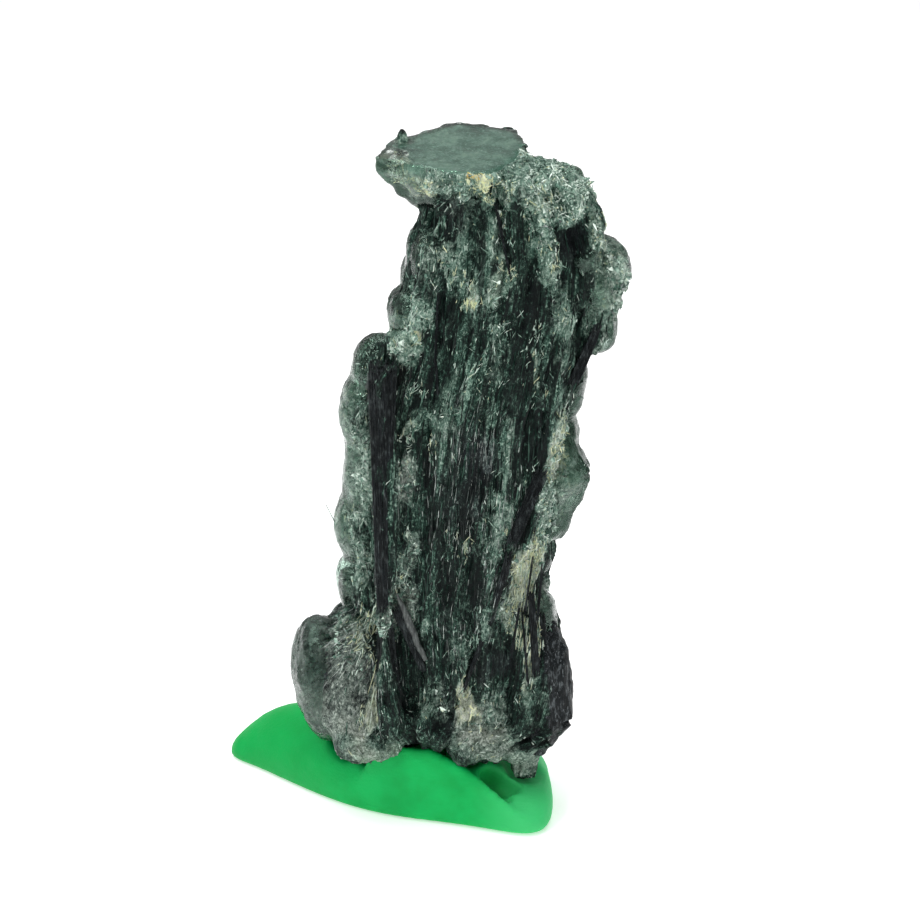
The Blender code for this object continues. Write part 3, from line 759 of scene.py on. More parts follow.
def body_surface():
    """The solid, remeshed finely, with its skin worked, and its cores drawn in under the clear skins."""
    obj = join("body", [copy_of_node("crystal_cluster", "body")] + [ball(*fill) for fill in FILLS + BASES])
    melt(obj, BODY_VOXEL, passes=5)
    points = points_of(obj)
    for centre, radii, _ in DOMES_LEFT + DOMES_RIGHT + DOMES_UPPER_RIGHT + DOMES_BACK:
        points = shrink_core(points, centre, radii, CORE_SHARE)
    for centre, radii, _ in DOMES_UPPER_LEFT + DOME_FOOT:
        points = shrink_core(points, centre, radii, THIN_CORE_SHARE)
    for row in DRAWN_IN:
        points = shrink_core(points, *row)
    points = taper_toe(lower_table(points))
    set_points(obj, points)
    quiet = 1.0 - np.maximum(table_weight(points) * 0.9, smoothstep(49.6, 50.6, points[:, 2]) * 0.7)
    quiet = quiet * (1.0 - 0.85 * edge_weight(points))
    quiet = quiet * (1.0 - 0.75 * foot_weight(points))
    for centre, radii in BASES:
        quiet = quiet * (1.0 - 0.8 * inside(points, centre, np.array(radii) * 1.5))
    relief = relief_of(points) * quiet
    set_points(obj, points + normals_of(obj) * relief[:, None])
    # The relief is kept for the paint, which uses it to darken the grooves and lighten the ridges: painted
    # shade and painted light.
    set_attribute(obj, "relief", relief)
    return obj


# ---- needles, rods and grains

class Skin:
    """A surface that small crystals are sown on."""

    def __init__(self, obj):
        obj.data.calc_loop_triangles()
        self.points = points_of(obj)
        corners = np.empty(len(obj.data.loop_triangles) * 3, int)
        obj.data.loop_triangles.foreach_get("vertices", corners)
        self.triangles = corners.reshape(-1, 3)
        first, second, third = (self.points[self.triangles[:, i]] for i in range(3))
        cross = np.cross(second - first, third - first)
        self.areas = np.linalg.norm(cross, axis=1) / 2
        self.centres = (first + second + third) / 3
        self.normals = cross / (self.areas[:, None] * 2 + 1e-12)
        self.light, self.yellow, _ = zones_of(self.centres)
        self.bare = 1.0 - table_weight(self.centres + (0.0, 0.0, 0.4))  # 0 under the clear table
        self.bare *= 1.0 - 0.9 * edge_weight(self.centres)
        self.bare *= 0.25 + 0.75 * smoothstep(6.5, 9.0, self.centres[:, 2])
        self.tree = BVHTree.FromPolygons(self.points.tolist(), self.triangles.tolist())

    def sow(self, rng, count, weights):
        """Random spots, with their normals."""
        share = self.areas * weights
        picked = rng.choice(len(share), size=count, p=share / share.sum())
        mix = rng.dirichlet((1.0, 1.0, 1.0), count)
        spots = (self.points[self.triangles[picked]] * mix[:, :, None]).sum(1)
        return spots, self.normals[picked]

    def press(self, points):
        """The nearest points of the surface, and its normals there."""
        found = [self.tree.find_nearest(Vector(point)) for point in points.reshape(-1, 3)]
        spots = np.array([tuple(hit[0]) for hit in found]).reshape(points.shape)
        normals = np.array([tuple(hit[1]) for hit in found]).reshape(points.shape)
        return spots, normals


def shoulder_weight(points):
    return inside(points, (10.4, -1.0, 49.0), (4.5, 6.0, 3.6))


def along_grain(points):
    """The way the needles run at each point: up the trunk, and fanned out in the left foot."""
    grain = column_of(points)
    z = points[:, 2] + 1.0
    centre_x, centre_y, width, depth = trunk_at(z)
    ahead_x = centre_x + grain[:, 0] / MEAN_WIDTH * width
    ahead = np.stack([ahead_x, centre_y + grain[:, 1] / MEAN_DEPTH * depth, z], 1)
    weight = fan_weight(points)[:, None]
    return unit(unit(ahead - points) * (1.0 - weight) + unit(FAN_POINT - points) * weight)


def drawn(rng, count, *ranges):
    """One random number a crystal from each range."""
    return [rng.uniform(low, high, count) for low, high in ranges]


def turned(rng, headings, normals, degrees):
    """Turns each heading about its normal by a random angle."""
    angle = np.radians(rng.normal(0.0, degrees, len(headings)))[:, None]
    sideways = unit(np.cross(normals, headings))
    return unit(headings * np.cos(angle) + sideways * np.sin(angle))


def rings_mesh(name, rings, tones):
    """Many small closed crystals in one mesh: rings of points, by crystal, station and side."""
    count, stations, sides, _ = rings.shape
    size = stations * sides
    starts = np.arange(count)[:, None] * size
    around = np.arange(sides)
    ahead = np.roll(around, -1)
    band = np.stack([around, ahead, ahead + sides, around + sides], 1)
    bands = np.concatenate([band + level * sides for level in range(stations - 1)])
    polygons = (bands + starts[:, :, None]).reshape(-1, 4).tolist()
    for cap in (around[::-1], around + size - sides):
        polygons += (cap + starts).tolist()
    mesh = bpy.data.meshes.new(name)
    mesh.from_pydata(rings.reshape(-1, 3).tolist(), [], polygons)
    obj = linked(name, mesh)
    on_whole_mesh(obj, bpy.ops.mesh.normals_make_consistent, inside=False)
    set_attribute(obj, "tone", np.repeat(tones, size))
    return obj


COUNTS = {  # how many small crystals of each kind
    "dark_needles": 3400, "pale_splinters": 7200, "fan_needles": 1900, "cream_needles": 420,
    "crumbs": 700, "crust": 7900}
SPLINTERS_PER_UNIT = 13  # splinters in a clear crystal, for each unit of its size
CLOUDED_SPLINTERS = 300  # and in the clear end of the table
# Place along a needle, and its thickness there; and the same for a grain, from its middle
NEEDLE_STATIONS = np.array([(0.0, 0.3), (0.25, 1.0), (0.75, 0.9), (1.0, 0.25)])
GRAIN_STATIONS = [(-1.0, 0.2), (0.1, 1.0), (1.0, 0.15)]
NEEDLE_SIDES = 3


def needles(name, skin, paint, spots, headings, lengths, widths, tones, lift):
    """Needles that lie on the skin and follow it."""
    along, thick = NEEDLE_STATIONS.T
    path = spots[:, None, :] + headings[:, None, :] * ((along - 0.5)[None, :, None] * lengths[:, None, None])
    path, up = skin.press(path)
    steps = np.linalg.norm(np.diff(path, axis=1), axis=2).max(1)
    middles = (path[:, :-1] + path[:, 1:]) / 2
    gaps = np.linalg.norm(skin.press(middles)[0] - middles, axis=2).max(1)
    kept = (steps < lengths * 0.7) & (gaps < 0.2)
    path, up, widths, tones, lift = path[kept], up[kept], widths[kept], tones[kept], lift[kept]
    path = path + up * lift[:, None, None]
    side = unit(np.cross(headings[kept][:, None, :], up))
    radius = thick[None, :, None] * widths[:, None, None] / 2
    angles = np.arange(NEEDLE_SIDES) * 2 * math.pi / NEEDLE_SIDES + math.pi / 2
    rings = [path + side * radius * math.cos(a) + up * radius * math.sin(a) for a in angles]
    finish_piece(rings_mesh(name, np.stack(rings, 2), tones), paint)


def grains(name, rng, paint, spots, headings, lengths, widths, tones, sides=3):
    """Stubby crystals with pointed ends, that stick out any way."""
    across = unit(np.cross(headings, rng.normal(size=headings.shape)))
    over = np.cross(headings, across)
    angles = np.arange(sides) * 2 * math.pi / sides
    rings = []
    for place_along, thick in GRAIN_STATIONS:
        middle = spots + headings * (place_along * lengths / 2)[:, None]
        radius = (thick * widths / 2)[:, None]
        ring = [middle + (across * math.cos(a) + over * math.sin(a)) * radius for a in angles]
        rings.append(np.stack(ring, 1))
    finish_piece(rings_mesh(name, np.stack(rings, 1), tones), paint)


def dark_needles(skin, paint):
    """Long needles all over the trunk and feet."""
    rng = np.random.default_rng(21)
    steep = np.abs(skin.normals[:, 2]) < 0.85
    dark = np.clip(0.9 - skin.light, 0.05, 1.5)
    weights = skin.bare * steep * dark * (1.0 - 0.6 * foot_weight(skin.centres))
    spots, normals = skin.sow(rng, COUNTS["dark_needles"], weights)
    headings = turned(rng, along_grain(spots), normals, 4.0)
    light, _, _ = zones_of(spots)
    clump = noise_at(grain_of(spots), (0.6, 0.6, 5.0), 7)
    # How deep each needle lies in the relief's grooves; the deeper ones are painted darker, as painted shade.
    groove = np.abs(noise_at(grain_of(spots), (0.8, 0.8, 7.0), 2))
    tones = 0.19 + clump * 0.34 + light * 0.12 - groove * 0.25 + rng.normal(0, 0.12, len(spots))
    tones = np.clip(tones + fan_weight(spots) * 0.30, 0.0, 0.70)
    lengths, widths, lift = drawn(rng, len(spots), (0.8, 5.0), (0.05, 0.16), (-0.07, 0.01))
    needles("dark_needles", skin, paint, spots, headings, lengths, widths, tones, lift)


def pale_splinters(skin, paint):
    """Short pale needles, thick where the body is light."""
    rng = np.random.default_rng(22)
    clump = noise_at(grain_of(skin.centres), (0.8, 0.8, 2.4), 9)
    weights = skin.bare * np.clip(0.12 + skin.light * 0.5 + clump * 0.9 + skin.yellow * 0.4, 0.02, None)
    weights = weights * (1.0 - 0.9 * foot_weight(skin.centres))
    spots, normals = skin.sow(rng, COUNTS["pale_splinters"], weights)
    light, yellow, _ = zones_of(spots)
    headings = turned(rng, along_grain(spots), normals, 30.0 - 20.0 * yellow)
    tones = np.clip(0.60 + light * 0.10 + rng.normal(0, 0.13, len(spots)), 0.36, 0.83)
    tones = np.where(rng.random(len(spots)) < yellow * 0.8, rng.uniform(0.88, 0.945, len(spots)), tones)
    lengths, widths, lift = drawn(rng, len(spots), (0.12, 0.75), (0.03, 0.10), (-0.01, 0.05))
    needles("pale_splinters", skin, paint, spots, headings, lengths, widths, tones, lift)


def fan_needles(skin, paint):
    """Long pale needles that spread over the left foot, and fine bright ones low on the trunk."""
    rng = np.random.default_rng(23)
    fan = fan_weight(skin.centres)
    low = inside(skin.centres, (3.5, -5.0, 24.0), (5.5, 3.5, 14.0))
    weights = fan * 0.9 * (1.0 - 0.9 * foot_weight(skin.centres)) + low * 0.26
    spots, normals = skin.sow(rng, COUNTS["fan_needles"], weights)
    headings = turned(rng, along_grain(spots), normals, 5.0)
    tones = np.clip(rng.normal(0.58, 0.12, len(spots)), 0.25, 0.83)
    lengths = rng.gamma(3.0, 0.42, len(spots)).clip(0.3, 3.5)
    widths, lift = drawn(rng, len(spots), (0.03, 0.075), (-0.02, 0.03))
    needles("fan_needles", skin, paint, spots, headings, lengths, widths, tones, lift)


def cream_needles(skin, paint):
    """Cream needles at the top of the left foot's fan, and among the black ones of the right foot."""
    rng = np.random.default_rng(24)
    weights = 1.3 * inside(skin.centres, (-3.7, -2.6, 15.3), (1.8, 2.6, 2.5))
    weights += 0.7 * inside(skin.centres, (-3.2, -3.2, 10.0), (0.5, 1.8, 3.2))
    weights += 0.8 * inside(skin.centres, (8.3, -4.2, 18.2), (1.4, 2.4, 6.8))
    spots, normals = skin.sow(rng, COUNTS["cream_needles"], weights)
    headings = turned(rng, along_grain(spots), normals, 5.0)
    ranges = ((0.78, 0.93), (0.5, 2.4), (0.04, 0.09), (0.0, 0.06))
    tones, lengths, widths, lift = drawn(rng, len(spots), *ranges)
    needles("cream_needles", skin, paint, spots, headings, lengths, widths, tones, lift)


WISPS = [  # small tangles of bright needles: middle, reach along x and z, how many, and their tone
    ((0.2, -3.7, 35.2), 0.9, 0.6, 34, 0.80),
    ((-0.7, -3.3, 31.4), 0.7, 0.4, 30, 0.84),
    ((1.8, -3.6, 31.5), 0.4, 0.9, 26, 0.88),
    ((-0.8, -3.3, 24.0), 0.4, 0.4, 18, 0.84),
    ((2.7, -4.2, 24.5), 0.4, 0.3, 12, 0.86),
    ((-0.9, -3.8, 20.6), 0.6, 0.7, 44, 0.80),
    ((3.6, -4.4, 23.1), 0.9, 1.0, 14, 0.86),
    ((10.3, -2.4, 31.2), 1.2, 2.0, 130, 0.88),
    ((3.7, -4.4, 41.9), 0.9, 0.35, 70, 0.93),
    ((4.8, -4.3, 50.1), 0.7, 0.8, 70, 0.935),
    ((4.1, -4.3, 50.8), 0.5, 0.3, 20, 0.985),
    ((5.4, -4.3, 49.2), 0.8, 0.5, 40, 0.91),
    ((3.0, -4.3, 43.3), 0.8, 0.9, 44, 0.90),
    ((6.5, -4.2, 44.1), 0.6, 0.8, 30, 0.89),
    ((9.6, -4.0, 44.8), 0.4, 0.8, 24, 0.90),
    ((9.1, -3.0, 48.8), 0.6, 0.5, 24, 0.90),
    ((6.5, -3.4, 49.9), 0.7, 0.4, 24, 0.89),
    ((0.1, -3.3, 38.9), 0.5, 0.8, 34, 0.93),
    ((-1.3, -2.0, 37.3), 1.1, 0.8, 60, 0.80),
    ((13.6, -1.8, 47.1), 0.5, 0.9, 26, 0.88),
    ((10.2, -2.8, 33.9), 0.9, 0.9, 40, 0.82),
    ((-3.0, -3.0, 14.6), 0.4, 1.3, 40, 0.91),
    ((-4.2, -3.4, 8.9), 0.4, 1.4, 30, 0.89),
    ((7.2, -4.4, 16.6), 0.6, 1.4, 34, 0.89),
    ((8.6, -3.8, 22.4), 1.0, 2.4, 120, 0.90),
    ((5.0, -5.0, 36.4), 2.0, 3.4, 60, 0.76),
    ((1.0, -3.0, 45.4), 1.2, 2.0, 70, 0.72),
    ((8.4, -4.2, 38.6), 0.8, 2.4, 70, 0.72),
]


def wisps(skin, paint):
    """Tangles of fine bright needles that lie across the others."""
    rng = np.random.default_rng(51)
    spots, tones = [], []
    for centre, reach_x, reach_z, count, tone in WISPS:
        spots.append(np.array(centre) + rng.normal(size=(count, 3)) * (reach_x * 0.5, 0.1, reach_z * 0.5))
        shades = rng.normal(tone, 0.02, count).clip(None, max(tone, 0.945))
        tones.append(np.where(rng.random(count) < 0.3, 0.74, shades))
    spots, normals = skin.press(np.concatenate(spots))
    headings = turned(rng, along_grain(spots), normals, 30.0)
    lengths = rng.gamma(4.0, 0.085, len(spots)).clip(0.12, 0.8)
    widths, lift = drawn(rng, len(spots), (0.03, 0.075), (0.0, 0.08))
    needles("wisps", skin, paint, spots, headings, lengths, widths, np.concatenate(tones), lift)


def crumbs(skin, paint):
    """Larger stubby crystals among the grains of the shoulder and the pale parts."""
    rng = np.random.default_rng(34)
    high = smoothstep(12.0, 17.0, skin.centres[:, 2])
    weights = skin.bare * high * np.clip(skin.light * 1.4 - 0.4, 0.0005, None)
    spots, normals = skin.sow(rng, COUNTS["crumbs"], weights)
    headings = unit(normals * rng.uniform(0.0, 1.0, (len(spots), 1)) + rng.normal(0, 0.8, (len(spots), 3)))
    light, _, _ = zones_of(spots)
    tones = np.clip(0.42 + light * 0.2 + rng.normal(0, 0.11, len(spots)), 0.15, 0.74)
    lengths = rng.gamma(5.0, 0.10, len(spots)).clip(0.25, 0.85)
    widths = lengths * rng.uniform(0.4, 0.8, len(spots))
    grains("crumbs", rng, paint, spots - normals * 0.12, headings, lengths, widths, tones, 6)


def crusts(skin, paint):
    """Stubby crystals heaped on the pale parts, and scattered over the rest."""
    for seed in (31, 32):
        rng = np.random.default_rng(seed)
        clump = noise_at(skin.centres, 0.9, seed)
        high = 0.08 + 0.92 * smoothstep(8.0, 11.0, skin.centres[:, 2])
        ribbed = skin.yellow * (skin.centres[:, 2] < 48.0)  # the cream parts lower down show ribs, not grains
        weights = skin.bare * high * np.clip(skin.light * 1.5 + clump * 0.6 - 0.3 - ribbed, 0.006, None)
        spots, normals = skin.sow(rng, COUNTS["crust"], weights * (1.0 - 0.9 * foot_weight(skin.centres)))
        strands = seed == 32
        out, turn = (0.4, 0.9) if strands else (1.2, 0.7)
        outward = normals * rng.uniform(0.0, out, (len(spots), 1))
        headings = unit(outward + rng.normal(0, turn, (len(spots), 3)))
        if strands:
            headings = unit(headings - normals * np.sum(headings * normals, 1, keepdims=True) * 0.7)
        light, yellow, _ = zones_of(spots)
        patch = noise_at(spots, 0.8, seed + 5)
        tones = 0.44 + light * 0.30 + patch * 0.36 + rng.normal(0, 0.09, len(spots))
        tones = np.clip(tones + shoulder_weight(spots) * 0.07, 0.2, 0.84)
        cream = rng.random(len(spots)) < (yellow - 0.15) * 1.1
        tones = np.where(cream, rng.uniform(0.88, 0.95, len(spots)), tones)
        golden = inside(spots, (4.6, -4.2, 50.1), (1.4, 1.8, 1.7)) > 0.3
        upper = (spots[:, 2] > 50.6) & (spots[:, 0] < 4.7)
        tops = np.where(upper, rng.uniform(0.96, 1.0, len(spots)), rng.uniform(0.91, 0.953, len(spots)))
        tones = np.where(golden & (rng.random(len(spots)) < 0.75), tops, tones)
        long, thin, thick = (0.12, 0.08, 0.22) if strands else (0.058, 0.35, 0.85)
        lengths = rng.gamma(3.0, long, len(spots)).clip(0.08, 0.9)
        widths = lengths * rng.uniform(thin, thick, len(spots))
        spots = spots + normals * rng.uniform(-0.08, 0.08, (len(spots), 1))
        grains(f"crust_{seed}", rng, paint, spots, headings, lengths, widths, tones)


def moss(paint):
    """Fine splinters shut in the clear crystals, between their skins and their cores."""
    rng = np.random.default_rng(41)
    rows = (DOMES_LEFT + DOMES_UPPER_LEFT + DOMES_RIGHT) * 2 + DOMES_UPPER_RIGHT[:2] + DOMES_BACK + WEBS_LEFT
    rows = rows + WEBS_RIGHT + LUMPS[:12]
    spots = []
    for centre, radii, _ in rows:
        count = int(SPLINTERS_PER_UNIT * (radii[0] * radii[1] * radii[2]) ** 0.67)
        ways = unit(rng.normal(size=(count, 3)))
        reach = rng.uniform(CORE_SHARE - 0.05, 0.93, (count, 1))
        spots.append(np.array(centre) + ways * reach * np.array(radii))
    cloud = rng.normal(size=(CLOUDED_SPLINTERS, 3)).clip(-1.3, 1.3)
    spots.append(cloud * (0.7, 0.8, 0.5) + (-0.4, -0.2, 50.3))  # in the clear end of the table
    spots = np.concatenate(spots)
    headings = unit(rng.normal(size=spots.shape))
    lengths, widths = drawn(rng, len(spots), (0.10, 0.55), (0.03, 0.12))
    tones = np.clip(rng.normal(0.60, 0.14, len(spots)), 0.15, 0.83)
    tones[-len(cloud):] = rng.uniform(0.60, 0.93, len(cloud))
    grains("moss", rng, paint, spots, headings, lengths, widths, tones)


def sheaf(foot, head, width_foot, width_head, depth, count, seed):
    """A flat black crystal: two layers of ribs that stand side by side over a slab, with a broken end."""
    rng = np.random.default_rng(seed)
    foot, head = Vector(foot), Vector(head)
    along = (head - foot).normalized()
    across = Vector((along.z, 0.0, -along.x)).normalized()
    through = along.cross(across)
    wide = max(width_foot, width_head)
    ribs = [rod(foot, head - along * RAGGED, width_foot * 0.98, width_head * 0.98, 6, 0.55 * depth / wide)]
    for back in (-depth / 2, depth / 2):
        for index in range(count):
            side = (index + rng.uniform(0.25, 0.75)) / count * 2.0 - 1.0
            size = (width_foot + width_head) / 2 / count * rng.uniform(0.9, 1.6)
            step = through * (back + rng.uniform(-0.05, 0.05))
            start = foot + across * side * width_foot + step - along * rng.uniform(0.0, RAGGED)
            end = head + across * side * width_head + step - along * rng.uniform(0.0, RAGGED) ** 2 * 2.0
            ribs.append(rod(start, end, size, size * rng.uniform(0.8, 1.0), 6, 1.0, rng.uniform(0, 60)))
    return join("sheaf", ribs)


RAGGED = 0.7  # how unevenly the ribs of a black crystal end
BLADES = [  # foot, head, half widths at foot and head, depth, ribs in a layer
    ((-2.45, -4.3, 19.0), (-2.6, -4.2, 37.6), 0.42, 0.66, 0.8, 24),
    ((-1.85, -4.2, 29.5), (-1.6, -4.1, 37.5), 0.25, 0.42, 0.7, 14),
    ((-2.1, -3.7, 10.0), (-2.4, -4.3, 20.0), 0.95, 0.42, 0.5, 25),
    ((0.3, -4.1, 13.8), (-1.6, -4.4, 18.8), 0.22, 0.34, 0.3, 10),
    ((7.0, -4.9, 24.4), (9.1, -4.3, 29.6), 0.40, 0.50, 0.5, 15),
    ((5.8, -5.1, 19.4), (6.8, -5.1, 23.4), 0.20, 0.30, 0.4, 8),
    ((3.6, -4.6, 12.4), (5.6, -5.1, 18.6), 0.12, 0.18, 0.3, 6),
    ((8.9, -4.3, 7.8), (8.5, -3.6, 18.8), 0.34, 0.16, 0.4, 8),
    ((9.7, -4.0, 8.6), (9.2, -3.2, 17.6), 0.5, 0.26, 0.4, 11),
    ((8.8, -4.3, 13.5), (8.4, -4.3, 19.8), 0.32, 0.22, 0.4, 10),
    ((8.2, -4.5, 12.8), (7.7, -4.1, 18.6), 0.10, 0.06, 0.3, 4),
    ((8.0, -4.2, 18.4), (8.5, -4.1, 22.6), 0.06, 0.08, 0.3, 4),
    ((8.9, -3.8, 17.4), (9.2, -3.7, 22.0), 0.10, 0.07, 0.3, 4),
    ((7.0, -4.9, 15.4), (7.6, -4.6, 19.2), 0.10, 0.07, 0.3, 4),
    ((11.3, -3.15, 36.0), (13.0, -2.9, 40.0), 0.40, 0.28, 0.4, 11),
    ((6.6, -4.1, 44.0), (5.6, -3.6, 48.8), 0.05, 0.12, 0.3, 4),
    ((1.7, -3.6, 33.0), (1.5, -3.6, 37.6), 0.06, 0.1, 0.3, 4),
    ((1.45, -3.6, 37.4), (1.7, -3.4, 42.8), 0.1, 0.06, 0.3, 4),
    ((-2.0, 3.7, 12.0), (-1.0, 3.8, 29.0), 0.8, 0.7, 0.8, 17),
    ((4.4, 5.1, 10.5), (5.2, 5.2, 34.0), 0.8, 0.8, 0.8, 17),
    ((9.2, 4.4, 20.0), (10.0, 3.8, 30.5), 0.7, 0.6, 0.8, 14),
]


def black_blades():
    """The black crystals on the front, sides and back."""
    blades = [sheaf(*row, seed) for seed, row in enumerate(BLADES)]
    finish_piece(join("black_blades", blades), blade_paint())


# ---- clear crystals

def rippled(obj, seed, voxel, passes=6):
    """Melts the joined balls into one skin, with low facets on it."""
    melt(obj, voxel, passes)
    points = points_of(obj)
    facets = np.round(noise_at(points, (1.5, 1.5, 1.7), 20 + seed) * 3.0) / 3.0 * 0.22
    dimples = noise_at(points, 0.6, 30 + seed) * 0.07
    push_out(obj, facets + dimples)
    modify(obj, "SMOOTH", factor=0.5, iterations=2)
    return obj


def clear_group(name, rows, material, seed, voxel=CLEAR_VOXEL, back=0.0, lumpy=0.0):
    """Rounded clear crystals grown into each other. Their fronts stand back by so many millimetres."""
    balls = []
    for centre, radii, turn in rows:
        grown = np.array(radii) + CLEAR_GROW
        balls.append(ball(np.array(centre) + (0.0, back, 0.0), grown - (0.0, abs(back), 0.0), turn))
    obj = rippled(join(name, balls), seed, voxel)
    push_out(obj, noise_at(points_of(obj), 2.6, 50 + seed) * lumpy)
    finish_piece(obj, material, smooth=60)


# Straight crystals: foot, head, radii at foot and head, sides, depth, roll
POINT_RODS = [  # the point on the right, and the rods over it
    ((10.5, -0.9, 28.1), (10.1, -0.9, 32.3), 2.6, 0.5),
    ((10.0, -0.9, 22.8), (10.5, -0.9, 28.15), 0.9, 2.6),
    ((12.3, -1.0, 42.8), (13.0, -1.4, 38.4), 1.8, 1.4, 6, 1.1, 20),
    ((11.7, -3.0, 45.0), (13.4, -2.7, 41.2), 1.0, 0.9, 6, 0.8, 10),
]
FOOT_RODS = [
    ((8.9, -2.6, 5.4), (9.9, -2.8, 9.0), 0.6, 2.05),
    ((9.9, -2.8, 8.9), (9.8, -2.6, 13.9), 2.05, 1.8),
    ((9.8, -2.6, 13.85), (9.5, -2.2, 16.4), 1.8, 0.8),
]
PRISM_RODS = [
    ((0.6, -4.25, 14.2), (-0.7, -4.4, 17.9), 0.24, 0.36, 6, 0.6, 30),
    ((-0.7, -4.35, 17.8), (-1.4, -4.4, 19.8), 0.36, 0.16, 6, 0.6, 30),
]


def clear_points(material):
    """Clear six-sided crystals on the right."""
    obj = rippled(join("clear_points", [rod(*row) for row in POINT_RODS]), 7, voxel=0.14, passes=2)
    finish_piece(obj, material, smooth=40)


def foot_side():
    """The dark ribbed crystal that makes the right foot's outer side."""
    obj = rippled(join("foot_side", [rod(*row) for row in FOOT_RODS]), 9, voxel=0.16, passes=3)
    push_out(obj, noise_at(points_of(obj), (0.45, 0.45, 4.0), 8) * 0.22)
    finish_piece(obj, blade_paint("foot_side", glint=1.5, bright=(0.22, 0.25, 0.26)), smooth=50)


def grey_prism():
    """The grey prism that lies on the body beside the blade's foot."""
    obj = join("grey_prism", [rod(*row) for row in PRISM_RODS])
    melt(obj, voxel=0.1, passes=3)
    push_out(obj, noise_at(points_of(obj), (0.5, 0.5, 1.4), 9) * 0.10)
    paint = Paint("grey_prism")
    ribs = paint.noise(paint.millimetres(), (5.0, 5.0, 1.2), 5.0, 0.72)
    colour = paint.ramp(ribs, [
        (0.35, (0.012, 0.016, 0.015)), (0.5, (0.05, 0.06, 0.057)), (0.68, (0.18, 0.20, 0.19))])
    normal = paint.bump(ribs, 0.1, 0.8)
    material = paint.surface(Base_Color=colour, Roughness=0.4, Normal=normal, IOR=1.6, Specular_IOR_Level=0.4)
    finish_piece(obj, material, smooth=50)


def clear_table(material):
    """The tabular crystal on top: a clear plate whose sides draw in to its root."""
    select_none()
    bpy.ops.mesh.primitive_circle_add(vertices=len(TABLE_RIM), radius=1.0, fill_type="NGON")
    obj = bpy.context.object
    obj.name = "clear_table"
    bpy.ops.object.mode_set(mode="EDIT")
    for _ in TABLE_RINGS[1:]:
        bpy.ops.mesh.extrude_region_move(TRANSFORM_OT_translate={"value": (0, 0, 1)})
    bpy.ops.object.mode_set(mode="OBJECT")
    middle_x, middle_y = TABLE_MIDDLE
    for vertex in obj.data.vertices:
        below, share = TABLE_RINGS[round(vertex.co.z)]
        turn = math.atan2(vertex.co.y, vertex.co.x) / (2 * math.pi)
        corner = round(turn * len(TABLE_RIM)) % len(TABLE_RIM)
        x, y = TABLE_RIM[corner]
        share *= TABLE_INSET[corner]
        height = TABLE_HEIGHT + TABLE_RISE * y - below
        vertex.co = (middle_x + (x - middle_x) * share, middle_y + (y - middle_y) * share, height)
    on_whole_mesh(obj, bpy.ops.mesh.normals_make_consistent, inside=False)
    melt(obj, CLEAR_VOXEL, passes=2)
    points, normals = points_of(obj), normals_of(obj)
    side = 1.0 - smoothstep(0.85, 0.95, normals[:, 2])
    push_out(obj, noise_at(points, (1.2, 1.2, 0.7), 61) * 0.22 * side + noise_at(points, 3.0, 62) * 0.05)
    finish_piece(obj, material, smooth=35)


def hair_needle(paint):
    """The loose hair-thin needle that stands off the left side."""
    hair = rod((-5.7, 0.0, 22.6), (-6.7, -0.2, 25.0), 0.05, 0.03, 5)
    set_attribute(hair, "tone", np.full(len(hair.data.vertices), 0.62))
    hair.name = "hair_needle"
    finish_piece(hair, paint)


# ---- putty

# The front fold of the putty and the hollow behind it: x, y and height along each
CREST = [
    (-3.0, -2.6, 5.6), (-1.4, -3.1, 6.3), (0.9, -3.4, 6.1), (3.2, -4.2, 5.2), (4.7, -5.0, 4.2),
    (6.2, -5.5, 3.2), (7.4, -5.7, 2.2)]
HOLLOW = [(4.9, -3.7, 2.9), (5.8, -4.1, 2.1), (6.7, -4.5, 1.7)]


def along_path(points, path):
    """How far each point is from a path, seen from above, and how high the path is there."""
    nearest = np.full(len(points), np.inf)
    height = np.zeros(len(points))
    for start, end in zip(np.array(path), np.array(path)[1:]):
        along = (end - start)[:2]
        t = np.clip((points[:, :2] - start[:2]) @ along / (along @ along), 0.0, 1.0)
        reach = np.linalg.norm(points[:, :2] - start[:2] - t[:, None] * along, axis=1)
        closer = reach < nearest
        nearest = np.where(closer, reach, nearest)
        height = np.where(closer, start[2] + t * (end[2] - start[2]), height)
    return nearest, height


def putty_piece():
    """The lump of putty, with the fold that a thumb pushed up in front of the right foot."""
    obj = copy_of_node("putty_base", "putty")
    melt(obj, PUTTY_VOXEL, passes=8)
    points, normals = points_of(obj), normals_of(obj)
    upward = smoothstep(0.1, 0.5, normals[:, 2])
    reach, height = along_path(points, CREST)
    raised = np.maximum(points[:, 2], height - 0.9 * reach ** 2)
    reach, height = along_path(points, HOLLOW)
    shaped = np.minimum(raised, height + 3.4 * reach ** 2)
    points[:, 2] += (shaped - points[:, 2]) * upward
    set_points(obj, points)
    melt(obj, PUTTY_VOXEL, passes=4)
    points, normals = points_of(obj), normals_of(obj)
    held = smoothstep(0.1, 0.8, points[:, 2])
    dents = noise_at(points, 3.0, 40) * 0.14 + noise_at(points, 0.9, 41) * 0.03
    points = points + normals * (dents * held)[:, None]
    points[:, 2] = np.maximum(points[:, 2], 0.0)
    set_points(obj, points)
    # Painted light on the right end, and painted shade that is strongest on the left end.
    set_attribute(obj, "painted_light_right", smoothstep(3.5, 8.5, points[:, 0]))
    set_attribute(obj, "painted_shade_left", 0.75 - 0.6 * smoothstep(-11.0, -4.0, points[:, 0]))
    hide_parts("putty_base")
    finish_piece(obj, putty_paint(), smooth=60)


# ---- stage

CAMERA_TARGET = Vector((3.2, 0.0, 28.5))
CAMERA_DISTANCE = 150.0
CAMERA_ELEVATION = 22.0
CAMERA_LENS = 80.0
FLOOR_SIZE, FLOOR_DROP = 30.0, 0.00005  # in metres
FLOOR_GLOW, SKY_GLOW = 0.42, 0.45
LAMPS_AIM = Vector((0.0, 0.0, 0.025))
# Lamps: where each stands, in metres, its size and its power in watts
LAMPS = [
    ((-0.05, 0.02, 0.34), 0.30, 1.1),
    ((-0.16, -0.16, 0.22), 0.05, 0.16),
]


